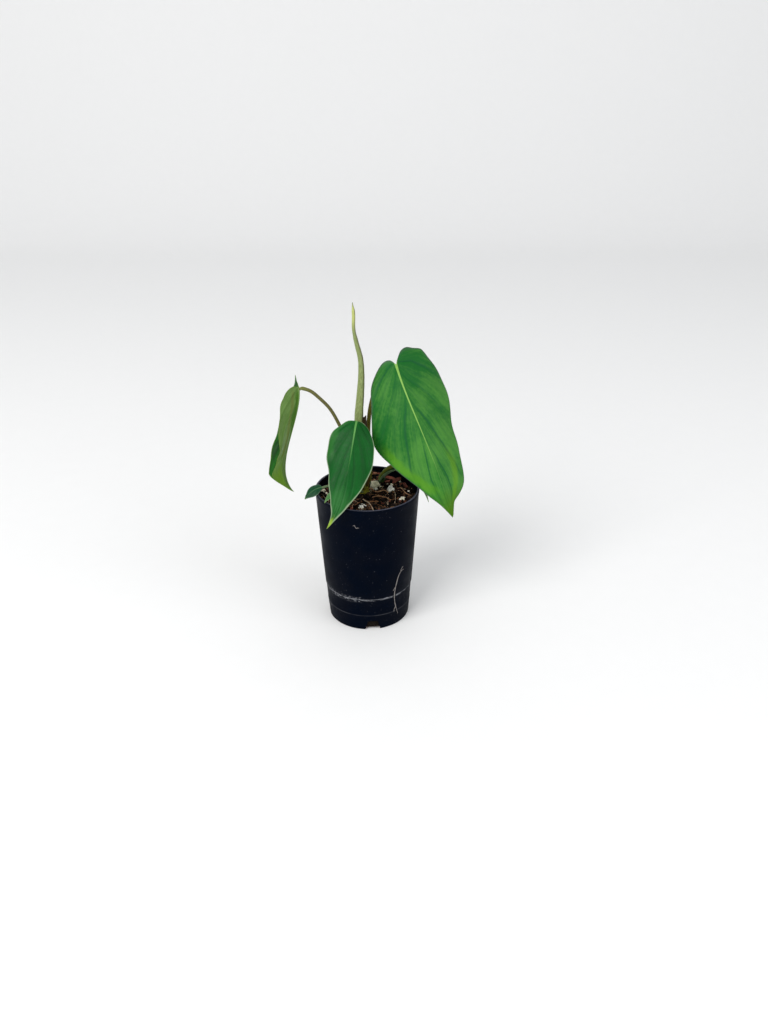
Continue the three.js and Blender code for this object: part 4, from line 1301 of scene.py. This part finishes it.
@dataclass(frozen=True)
class Stem:
    """The short ringed stem that every stalk leaves, and the roots below it."""

    foot: float = 72.0
    top: float = 116.0
    lean: float = 1.0
    radii: tuple[float, float] = (4.4, 3.6)
    ring_height: float = 0.5
    ring_spacing: float = 4.6
    rings_from: float = 98.0
    root_count: int = 5
    root_reach: float = 24.0
    root_depths: tuple[float, ...] = (44.0, 39.0, 48.0, 41.0, 46.0)
    # How far out and how far down each root has come, as shares, along its run.
    root_run: tuple[tuple[float, float], ...] = ((0.25, 0.05), (0.6, 0.3), (0.8, 0.7), (0.75, 1.0))

    def build(self, effects: Effects) -> None:
        """Models the stem and dresses it."""
        x, y = CROWN
        middle = (self.foot + self.top) / 2
        line = spline_line(((x - self.lean, y + self.lean, self.foot),
                           (x - self.lean / 2, y + self.lean / 2, middle), (x, y, self.top)))

        def radius(share: np.ndarray) -> np.ndarray:
            """Returns the radius with the ring of each old leaf."""
            height = self.foot + (self.top - self.foot) * share
            ring = np.maximum(0.0, np.sin(2 * math.pi * height / self.ring_spacing)) ** 0.7
            plain = self.radii[0] + (self.radii[1] - self.radii[0]) * share
            return plain + np.where((height > self.rings_from) & (share < 0.98), self.ring_height * ring, 0.0)

        piece = make_tube("crown", line, radius, 36, 130, rounding=0.3)
        settle(piece, STEM_SKIN.make(effects), "stem", "stem")

    def build_roots(self, effects: Effects) -> None:
        """Models the thick roots that hold the stem in the mix, and dresses them."""
        x, y = CROWN[0] - self.lean, CROWN[1] + self.lean
        top = self.foot - 0.3
        straight = spline_line([(x, y, top), (x, y, top - 7), (x, y, top - 14)])
        pieces = [make_tube("root_crown", straight, lambda share: 3.5 * (1 - share**2 / 2), 20, 24)]
        for i, depth in enumerate(self.root_depths):
            turn = math.radians(20 + 360 / self.root_count * i)
            run = [(x + self.root_reach * out * math.cos(turn + 0.5 * out),
                    y + self.root_reach * out * math.sin(turn + 0.5 * out),
                    top - 7 - down * depth) for out, down in self.root_run]
            line = spline_line([(x, y, top - 7), *run])
            pieces.append(make_tube(f"root_{i}", line, lambda share: 1.45 * (1 - 0.35 * share), 12, 60))
        piece = join_all("root_bundle", pieces)
        settle(piece, ROOT_SKIN.make(effects), "root", "roots")


# The pot


@dataclass(frozen=True)
class Pot:
    """The tapered plastic pot, with its step, its rounded lip and its notched foot."""

    height: float = 112.5
    rim_radius: float = 41.0
    foot_radius: float = 33.6
    wall: float = 1.2
    lip_wall: float = 1.8
    lip_height: float = 3.0
    lip_round: float = 0.5
    floor: float = 1.6
    channel_rise: float = 1.6
    channel_wall: float = 1.0
    disc_radius: float = 16.0
    channel_radius: float = 27.0
    foot_round: float = 0.8
    step_height: float = 30.0
    step_depth: float = 0.45
    step_slope: float = 0.6
    bead_height: float = 14.0
    bead_depth: float = 0.12
    notch_count: int = 4
    notch_turn: float = 6.0
    notch_widths: tuple[float, float] = (13.0, 8.0)
    notch_height: float = 8.5
    notch_reach: tuple[float, float] = (28.0, 38.0)
    notch_round: float = 1.1
    columns: int = 192
    # What sticks to the wall, as degrees round it from the front and heights.
    stuck_root: tuple[tuple[float, float], ...] = (
        (50, 51.8), (46, 51.6), (43, 50.1), (40.4, 46.8), (38.4, 42), (37, 38), (36, 33.5), (36.4, 28),
        (38, 21.6), (40.8, 15.6), (44.2, 9.8))
    stuck_hooks: tuple[tuple[tuple[float, float], ...], ...] = (
        ((44, 50.6), (45.5, 53.5), (48.5, 55.2)),
        ((37.1, 38.4), (34.8, 36.4), (33.2, 35.2)),
        ((39.2, 18.6), (37.4, 15.8), (36.9, 13.4)),
    )
    stuck_curl: tuple[tuple[float, float], ...] = (
        (-15.2, 99), (-13.6, 99.6), (-12.4, 98.2), (-11.2, 97.2), (-9.6, 97.8), (-8.4, 97.4))

    def radius(self, height: float) -> float:
        """Returns the outer radius at a height."""
        plain = self.foot_radius + (self.rim_radius - self.foot_radius) * height / self.height
        return plain - self.step_depth if height < self.step_height else plain

    def corner(self, radius: float, height: float, size: float, start: float) -> list[tuple[float, float]]:
        """Returns a quarter round about a point, from a starting angle in degrees."""
        angles = [math.radians(start + 90 * i / 4) for i in range(5)]
        return [(radius + size * math.cos(a), height + size * math.sin(a)) for a in angles]

    def inside(self) -> list[tuple[float, float]]:
        """Returns the inner profile from below the lip down to the axis."""
        below = self.step_height - self.step_slope
        above = self.step_height + self.step_slope
        foot = self.height - self.lip_height
        rise = self.floor + self.channel_rise
        return [(self.radius(foot) - self.wall, foot), (self.radius(above) - self.wall, above),
                (self.radius(below) - self.wall, below), (self.radius(self.floor) - self.wall, self.floor),
                (self.channel_radius, self.floor), (self.channel_radius - self.channel_rise, rise),
                (self.disc_radius + self.channel_rise, rise), (self.disc_radius, self.floor), (0, self.floor)]

    def profile(self) -> list[tuple[float, float]]:
        """Returns the closed profile from the axis, up the outside and down the inside."""
        disc, edge = self.disc_radius + self.channel_wall, self.channel_radius - self.channel_wall
        foot = self.radius(0) - self.foot_round
        points = [(0, 0), (disc, 0), (disc + self.channel_rise, self.channel_rise),
                  (edge - self.channel_rise, self.channel_rise), (edge, 0), (foot, 0)]
        points += self.corner(foot, self.foot_round, self.foot_round, -90)[1:]
        points.append((self.radius(5), 5))
        for offset, depth in ((-0.7, 0), (-0.25, 1), (0.25, 1), (0.7, 0)):
            height = self.bead_height + offset
            points.append((self.radius(height) + depth * self.bead_depth, height))
        below = self.step_height - self.step_slope
        points += [(self.radius(below), below), (self.radius(below) + 0.1, self.step_height - 0.35),
                   (self.radius(self.step_height) - 0.08, self.step_height - 0.08),
                   (self.radius(self.step_height), self.step_height + 0.1)]
        points += [(self.radius(height), height) for height in (50, 70, 90)]
        lip = self.height - self.lip_height
        points += [(self.radius(lip) - 0.12, lip - 0.25), (self.radius(lip) + 0.04, lip + 0.15)]
        top = self.height - self.lip_round
        points += self.corner(self.rim_radius - self.lip_round, top, self.lip_round, 0)
        points += self.corner(self.rim_radius - self.lip_wall + self.lip_round, top, self.lip_round, 90)
        points += [(self.rim_radius - self.lip_wall, lip + 0.4), *self.inside()]
        return points

    def cut_notches(self, piece: bpy.types.Object) -> None:
        """Cuts the drain notches out of the foot."""
        inner, outer = self.notch_reach
        for i in range(self.notch_count):
            cutter = add_new(bpy.ops.mesh.primitive_cube_add, size=2.0)
            flat = read_points(cutter)
            half = np.where(flat[:, 2] > 0, self.notch_widths[1], self.notch_widths[0]) / 2
            x = flat[:, 0] * half
            y = np.where(flat[:, 1] > 0, -inner, -outer)
            z = np.where(flat[:, 2] > 0, self.notch_height, -1.0)
            turn = math.radians(self.notch_turn + 360 / self.notch_count * i)
            write_points(cutter, np.column_stack((x * math.cos(turn) - y * math.sin(turn),
                                                  x * math.sin(turn) + y * math.cos(turn), z)))
            apply_modifier(cutter, "BEVEL", width=self.notch_round * MM, segments=4)
            apply_modifier(piece, "BOOLEAN", operation="DIFFERENCE", object=cutter, solver="EXACT")
            bpy.data.objects.remove(cutter)

    def build(self, effects: Effects) -> None:
        """Models the pot and dresses it."""
        piece = make_turned("pot_shell", self.profile(), self.columns)
        close_up(piece, 35.0)
        self.cut_notches(piece)
        close_up(piece, 35.0)
        settle(piece, PotFinish().make(effects), "pot_plastic", "pot")

    def on_wall(self, spots: Sequence[tuple[float, float]], proud: float) -> list[Point]:
        """Returns points on the outer wall from degrees round it and heights."""
        points = []
        for turn, height in spots:
            reach = self.radius(height) + proud
            angle = math.radians(turn)
            points.append((reach * math.sin(angle), -reach * math.cos(angle), height))
        return points

    def build_stuck_roots(self, effects: Effects) -> None:
        """Models the dry root and the bits of fibre that stick to the wall."""
        runs = [(self.stuck_root, 0.34, 60), *((hook, 0.22, 24) for hook in self.stuck_hooks),
                (self.stuck_curl, 0.24, 24)]
        threads = [Thread(self.on_wall(spots, thick * 0.6), thick, 0.5, rows, 0.45, 6.0, 0.15, 25.0, 1.0)
                   for spots, thick, rows in runs]
        piece = join_threads("stuck_roots", threads, 8)
        finish = GritFinish("dry_root", ((92, 86, 84), (132, 128, 126), (176, 172, 166)), 0.75, 1500.0)
        settle(piece, finish.make(effects), "root")


# The potting mix


@dataclass(frozen=True)
class Strand:
    """A fibre in the mix: its points as x, y and height above the mix, its radius and tone."""

    points: tuple[Point, ...]
    radius: float
    tone: float


@dataclass(frozen=True)
class Mix:
    """The coarse dark mix, with crumbs, bark, perlite and fibres in its surface."""

    pot: Pot
    level: float = 104.3
    mound_height: float = 1.6
    mound_radius: float = 16.0
    clearance: float = 0.3
    # Each wave of the surface: its height, its pace along x and along y, and its shift.
    waves: tuple[tuple[float, float, float, float], ...] = (
        (0.45, 0.31, 0.27, 1.3), (0.45, 0.31, -0.27, 1.3), (0.55, 0.71, -0.53, 0), (0.45, 0.2, 0.9, 1.6))
    # The bank at the back: its height, the x and y of its middle, and its reach both ways.
    bank: tuple[float, float, float, float, float] = (4.4, 5.0, 38.5, 9.0, 5.5)
    columns: int = 260
    rings: int = 84
    crumb_count: int = 1500
    bark_count: int = 40
    perlite_count: int = 13
    fibre_count: int = 90
    seed: int = 11
    crumb_sizes: tuple[float, float] = (0.45, 1.35)
    crumb_power: float = 2.4
    bark_lengths: tuple[float, float] = (1.8, 6.4)
    perlite_sizes: tuple[float, float] = (0.6, 1.7)
    fibre_lengths: tuple[float, float] = (4, 13)
    fibre_radii: tuple[float, float] = (0.1, 0.26)
    lump_scale: float = 0.42
    grit_scale: float = 1.7
    grit_height: float = 0.35
    # Lumps that the photo shows: x, y, radius and tone.
    perlite_seen: tuple[tuple[float, float, float, float], ...] = (
        (5.9, 13.0, 4.6, 0.6), (4.8, 8.7, 2.4, 1.1), (6.9, 6.0, 1.6, 1.0), (18.3, 7.7, 3.3, 1.2),
        (27.5, -7.3, 2.4, 0.8), (27.0, -11.4, 1.4, 1.1), (-4.3, -21.0, 1.8, 1.1), (-1.6, -19.4, 1.2, 1.1),
        (0.5, -17.8, 1.2, 1.0), (20.7, -14.6, 1.0, 0.9), (-29.5, 18.0, 2.2, 0.8), (-32.0, 4.0, 1.6, 0.7),
        (16.0, -21.0, 1.0, 0.9), (33.0, 6.0, 1.2, 0.85), (-35.0, 7.5, 1.7, 0.6))
    # Chips that the photo shows: x, y, length, turn in degrees, tone and height above the mix.
    bark_seen: tuple[tuple[float, float, float, float, float, float], ...] = (
        (18.3, 29.5, 8.5, -32, 0.65, 2.1), (23.3, 24.5, 9.0, 35, 0.55, 1.7), (28.0, 19.5, 7.5, -55, 0.6, 1.4),
        (30.3, 14.5, 6.0, -64, 0.45, 1.1), (17.5, 24.0, 6.5, 10, 0.5, 1.0), (4.5, 35.2, 6.0, 5, 0.85, 0.9),
        (9.8, 33.6, 5.0, -15, 0.6, 0.8), (-2.0, 34.6, 5.0, 14, 0.9, 0.8), (-25.5, 23.0, 6.5, 42, 0.7, 2.4),
        (-30.5, 15.5, 6.0, 60, 0.6, 1.6), (-33.0, 9.5, 4.5, 76, 0.7, 1.2), (-12.0, -21.5, 5.0, 75, 0.5, 1.0),
        (12.5, -14.5, 5.5, -20, 0.3, 1.0))
    strands: tuple[Strand, ...] = (
        Strand(((-2.8, 1.0, 3.2), (1.9, 5.4, 3.2), (7.5, 2.9, 2.2), (13.1, 4.4, 1.9), (17.2, 2.6, 1.2)),
               0.65, 0.6),
        Strand(((3.6, -7.6, 1.8), (8.3, -5.1, 2.2), (13.8, -6.1, 1.9), (19.5, -8.8, 1.4)), 0.55, 0.5),
        Strand(((0.6, -13.0, 1.8), (5.0, -12.0, 2.1), (11.0, -14.0, 1.6)), 0.5, 0.4),
        Strand(((-5.8, -6.0, 1.6), (-2.6, -9.3, 1.6), (0.6, -14.5, 1.6), (3.0, -20.5, 1.5),
                (5.3, -25.5, 1.0)),
               0.45, 0.85),
        Strand(((16.3, 8.0, 2.2), (16.6, -0.7, 1.5), (16.1, -11.2, 1.2), (15.7, -21.3, 0.4)), 0.3, 0.8),
        Strand(((21.8, 4.7, 1.8), (22.0, -7.8, 1.6), (20.7, -18.0, 0.5)), 0.28, 0.9),
        Strand(((23.6, 13.3, 1.0), (26.7, 8.8, 2.0), (30.5, 2.5, 1.8), (34.9, -1.1, 0.8)), 0.34, 0.65),
        Strand(((-33.0, -3.0, 0.8), (-28.5, -6.5, 1.4), (-24.0, -9.0, 0.6)), 0.4, 0.8),
    )

    def edge(self) -> float:
        """Returns the surface's radius."""
        return self.pot.radius(self.level) - self.pot.wall - self.clearance

    def surface(self, x: np.ndarray, y: np.ndarray) -> np.ndarray:
        """Returns the height of the smooth surface."""
        away = np.hypot(x, y - CROWN[1])
        height = self.level + self.mound_height * np.exp(-(away**2) / self.mound_radius**2)
        for size, along_x, along_y, shift in self.waves:
            height = height + size * np.sin(along_x * x + along_y * y + shift)
        size, middle_x, middle_y, reach_x, reach_y = self.bank
        return height + size * np.exp(-(((x - middle_x) / reach_x) ** 2) - ((y - middle_y) / reach_y) ** 2)

    def height_at(self, x: float, y: float) -> float:
        """Returns the height of the smooth surface at one place."""
        return float(self.surface(np.array([x]), np.array([y]))[0])

    def build(self, effects: Effects) -> None:
        """Models the body of the mix with its crumbly surface, and dresses it."""
        edge = self.edge()
        top = [(edge * i / self.rings, self.level) for i in range(self.rings + 1)]
        lower = self.pot.inside()[1:]
        shrunk = [(max(radius - self.clearance, 0.0), height + self.clearance) for radius, height in lower]
        piece = make_turned("mix_body", [*top, (edge, self.level - 3), *shrunk], self.columns)
        points = read_points(piece) / MM
        upper = points[:, 2] > self.level - 0.01
        ground = self.surface(points[:, 0], points[:, 1])
        for i in np.nonzero(upper)[0]:
            spot = Vector(points[i])
            lumps = noise.fractal(spot * self.lump_scale, 0.6, 2.1, 4)
            points[i, 2] = ground[i] + lumps + self.grit_height * noise.noise(spot * self.grit_scale)
        write_points(piece, points)
        close_up(piece, 70.0)
        settle(piece, MIX_GROUND.make(effects), "potting_mix", "potting_mix")

    @staticmethod
    def model_lumps(count: int, subdivisions: int, roughness: float, seed: int) -> list[bpy.types.Object]:
        """Models a few rough lumps of radius 1 that are copied later."""
        lumps = []
        for k in range(count):
            lump = add_new(bpy.ops.mesh.primitive_ico_sphere_add, subdivisions=subdivisions, radius=1.0)
            points = read_points(lump)
            for i, point in enumerate(points):
                shift = Vector((seed + 7.3 * k, 0, 0))
                size = 1 + roughness * noise.noise(Vector(point) * 1.3 + shift)
                size += 0.4 * roughness * noise.noise(Vector(point) * 3.7 + shift)
                points[i] = point * size
            write_points(lump, points / MM)
            lumps.append(lump)
        return lumps

    @staticmethod
    def model_chips(count: int) -> list[bpy.types.Object]:
        """Models a few splintered chips, two long, one wide and a quarter thick."""
        chips = []
        for k in range(count):
            chip = add_new(bpy.ops.mesh.primitive_cube_add, size=2.0)
            bpy.ops.object.mode_set(mode="EDIT")
            bpy.ops.mesh.subdivide(number_cuts=3)
            bpy.ops.object.mode_set(mode="OBJECT")
            points = read_points(chip)
            for i, point in enumerate(points):
                spot = Vector(point) + Vector((11.0 * k, 5.0, 0.0))
                taper = 1 - 0.35 * abs(point[0]) ** 2
                rough = noise.noise_vector(spot * 1.4)
                points[i] = (point[0] + 0.22 * rough[0],
                             0.5 * point[1] * taper + 0.16 * rough[1],
                             0.22 * point[2] * taper + 0.1 * rough[2] + 0.12 * math.sin(1.5 * point[0] + k))
            write_points(chip, points / MM)
            chips.append(chip)
        return chips

    @staticmethod
    def spread_copies(
        name: str, models: Sequence[bpy.types.Object], places: Sequence[tuple[Matrix, float]], angle: float
    ) -> bpy.types.Object:
        """Copies models to many places, each with a tone, and joins the copies.

        Args:
            name: the joined piece's name.
            models: the meshes that are copied in turn.
            places: for each copy, where it goes and its tone from 0 to 1.
            angle: the sharpest edge that is smoothed, in degrees.

        Returns:
            The joined piece.
        """
        copies = []
        for i, (place, tone) in enumerate(places):
            mesh = models[i % len(models)].data.copy()
            mesh.transform(place)
            write_tone(mesh, tone)
            copy = bpy.data.objects.new(name, mesh)
            bpy.context.scene.collection.objects.link(copy)
            copies.append(copy)
        for model in models:
            bpy.data.objects.remove(model)
        piece = join_all(name, copies)
        activate(piece)
        bpy.ops.object.shade_smooth_by_angle(angle=math.radians(angle))
        return piece

    def put(self, x: float, y: float, lift: float, turn: Point, size: Point) -> Matrix:
        """Returns the matrix that puts a model of size 1 on the surface."""
        spot = Vector((x, y, self.height_at(x, y) + lift)) * MM
        scale = Matrix.Diagonal((*[value * MM for value in size], 1.0))
        return Matrix.Translation(spot) @ Euler(turn).to_matrix().to_4x4() @ scale

    def spot(self, draw: random.Random, margin: float, inner: float = 5.5) -> tuple[float, float]:
        """Returns a random place on the surface, clear of the stem and of the wall."""
        while True:
            reach = (self.edge() - margin) * math.sqrt(draw.random())
            turn = 2 * math.pi * draw.random()
            x, y = reach * math.cos(turn), reach * math.sin(turn)
            if math.hypot(x - CROWN[0], y - CROWN[1]) > inner:
                return x, y

    def build_crumbs(self, effects: Effects) -> None:
        """Scatters small crumbs of peat over the surface."""
        draw = random.Random(self.seed)
        least, more = self.crumb_sizes
        places = []
        for _ in range(self.crumb_count):
            size = least + more * draw.random() ** self.crumb_power
            x, y = self.spot(draw, size + 0.4)
            turn = tuple(draw.uniform(0, TURN) for _ in range(3))
            shape = tuple(size * draw.uniform(0.6, 1.15) for _ in range(3))
            lift = 0.25 * size + draw.uniform(0, 0.9)
            places.append((self.put(x, y, lift, turn, shape), draw.random() ** 1.6))
        piece = self.spread_copies("mix_crumbs", self.model_lumps(4, 2, 0.7, 3), places, 40.0)
        settle(piece, CRUMB_SKIN.make(effects), "potting_mix")

    def build_bark(self, effects: Effects) -> None:
        """Scatters chips of bark, and lays the ones that stand out at their places."""
        draw = random.Random(self.seed + 1)
        places = []
        for x, y, length, turn, tone, lift in self.bark_seen:
            tilt = (draw.uniform(-0.3, 0.3) + 0.3 * (lift - 1), draw.uniform(-0.25, 0.25), math.radians(turn))
            shape = (length / 2, length * 0.4, length * 0.4)
            places.append((self.put(x, y, lift, tilt, shape), tone))
        for _ in range(self.bark_count):
            length = draw.uniform(*self.bark_lengths)
            x, y = self.spot(draw, length / 2 + 0.6)
            tilt = (draw.uniform(-0.5, 0.5), draw.uniform(-0.35, 0.35), draw.uniform(0, TURN / 2))
            shape = (length / 2, length * draw.uniform(0.2, 0.42), length * draw.uniform(0.25, 0.5))
            places.append((self.put(x, y, draw.uniform(0.4, 1.2), tilt, shape), draw.uniform(0.2, 1.0)))
        piece = self.spread_copies("bark_chips", self.model_chips(4), places, 30.0)
        settle(piece, BARK_SKIN.make(effects), "potting_mix")

    def build_perlite(self, effects: Effects) -> None:
        """Scatters lumps of perlite, and sets the ones that stand out at their places."""
        draw = random.Random(self.seed + 2)
        places = []
        for x, y, size, tone in self.perlite_seen:
            turn = (draw.uniform(-0.4, 0.4), draw.uniform(-0.4, 0.4), draw.uniform(0, TURN))
            shape = (size, size * draw.uniform(0.8, 1.0), size * draw.uniform(0.65, 0.8))
            places.append((self.put(x, y, 0.42 * size, turn, shape), tone))
        for _ in range(self.perlite_count):
            size = draw.uniform(*self.perlite_sizes)
            x, y = self.spot(draw, size + 0.8, 9.0)
            turn = tuple(draw.uniform(0, TURN) for _ in range(3))
            shape = tuple(size * draw.uniform(0.75, 1.1) for _ in range(3))
            places.append((self.put(x, y, 0.35 * size, turn, shape), draw.uniform(0.45, 1.0)))
        piece = self.spread_copies("perlite_lumps", self.model_lumps(4, 4, 0.55, 9), places, 60.0)
        settle(piece, PERLITE_SKIN.make(effects), "potting_mix")

    def random_strand(self, draw: random.Random) -> Strand:
        """Returns a short bent fibre that lies on the surface."""
        x, y = self.spot(draw, 5.0, 7.0)
        turn, length = draw.uniform(0, TURN), draw.uniform(*self.fibre_lengths)
        bend = draw.uniform(-1.2, 1.2)
        points = []
        for i in range(4):
            points.append((x, y, 0.7 + 1.1 * math.sin(math.pi * i / 3) * draw.random()))
            x += length / 3 * math.cos(turn + bend * i / 3)
            y += length / 3 * math.sin(turn + bend * i / 3)
            reach = math.hypot(x, y) / (self.edge() - 1.0)
            x, y = x / max(reach, 1.0), y / max(reach, 1.0)
        return Strand(tuple(points), draw.uniform(*self.fibre_radii), draw.random())

    def build_fibres(self, effects: Effects) -> None:
        """Lays the fibres and thin roots that stand out, and short ones between them."""
        draw = random.Random(self.seed + 3)
        strands = [*self.strands, *(self.random_strand(draw) for _ in range(self.fibre_count))]
        threads = [Thread([(x, y, self.height_at(x, y) + lift) for x, y, lift in strand.points],
                          strand.radius, strand.tone, shift=i) for i, strand in enumerate(strands)]
        piece = join_threads("mix_fibres", threads, 7)
        settle(piece, FIBRE_SKIN.make(effects), "potting_mix")


# The studio


@dataclass(frozen=True)
class Studio:
    """A plain pale floor that sweeps up behind the plant, soft light and the camera."""

    eye: Point = (0.0130, -0.6003, 0.4053)
    tilt: float = 62.32
    roll: float = -0.33
    lens: float = 29.88
    wall_back: float = 1.5
    wall_round: float = 0.6
    wall_height: float = 2.4
    half_width: float = 4.0
    floor_front: float = 4.0
    sky: float = 0.64

    def build_floor(self, effects: Effects) -> None:
        """Models the floor and the wall as one smooth sweep."""
        steps, rows = 16, 40
        piece = flat_grid("floor", 8, rows)
        flat = read_points(piece)
        depth = self.floor_front + self.wall_back
        profile = [(-self.floor_front + depth * i / steps, 0.0) for i in range(steps + 1)]
        for i in range(1, steps + 1):
            angle = math.pi / 2 * i / steps
            profile.append((self.wall_back + self.wall_round * math.sin(angle),
                            self.wall_round * (1 - math.cos(angle))))
        rest = rows - len(profile) + 1
        back = self.wall_back + self.wall_round
        profile += [(back, self.wall_round + self.wall_height * (i + 1) / rest) for i in range(rest)]
        y, z = np.array(profile)[grid_rows(flat, rows)].T
        write_points(piece, np.column_stack((flat[:, 0] * self.half_width, y, z)) / MM)
        bpy.ops.object.shade_smooth()
        piece.data.materials.append(FloorFinish().make(effects))

    def add_light(self, name: str, place: Point, power: float, size: float, tone: Point) -> None:
        """Adds a soft square light that faces the plant."""
        lamp = add_new(bpy.ops.object.light_add, type="AREA", location=place)
        lamp.name = name
        lamp.data.energy, lamp.data.size, lamp.data.color = power, size, tone
        aim = Vector((0, 0, 0.13)) - Vector(place)
        lamp.rotation_euler = aim.to_track_quat("-Z", "Y").to_euler()

    def build_lights(self) -> None:
        """Adds the sky, the key light from the left front and the weaker fill."""
        world = bpy.data.worlds.new("studio_sky")
        world.use_nodes = True
        sky = world.node_tree.nodes["Background"].inputs
        sky["Color"].default_value = (0.97, 0.985, 1.0, 1.0)
        sky["Strength"].default_value = self.sky
        bpy.context.scene.world = world
        self.add_light("key", (-1.3, -1.5, 1.7), 46.0, 1.5, (1.0, 0.99, 0.97))
        self.add_light("fill", (1.6, -1.0, 1.2), 12.0, 1.4, (0.97, 0.98, 1.0))
        bpy.context.scene.view_settings.view_transform = "Standard"

    def build_camera(self) -> None:
        """Adds the camera."""
        camera = add_new(bpy.ops.object.camera_add)
        tilt = Matrix.Rotation(math.radians(self.tilt), 4, "X")
        roll = Matrix.Rotation(math.radians(self.roll), 4, "Z")
        camera.matrix_world = Matrix.Translation(self.eye) @ tilt @ roll
        camera.data.sensor_fit = "VERTICAL"
        camera.data.sensor_height = 36.0
        camera.data.lens = self.lens
        bpy.context.scene.camera = camera

    def build(self, effects: Effects) -> None:
        """Builds the whole studio."""
        self.build_camera()
        self.build_floor(effects)
        self.build_lights()


def main() -> None:
    """Builds the plant in its pot, and the studio round it."""
    logging.basicConfig(level=logging.INFO, format="%(name)s %(message)s")
    effects = Effects()
    Studio().build(effects)
    pot = Pot()
    pot.build(effects)
    pot.build_stuck_roots(effects)
    mix = Mix(pot)
    mix.build(effects)
    mix.build_crumbs(effects)
    mix.build_bark(effects)
    mix.build_perlite(effects)
    mix.build_fibres(effects)
    stem = Stem()
    stem.build(effects)
    stem.build_roots(effects)
    for stalk in STALKS:
        stalk.build(effects)
    RolledLeaf().build(effects)
    for blade in (*BLADES, SHEATH):
        blade.build(effects)


if __name__ == "__main__":
    main()
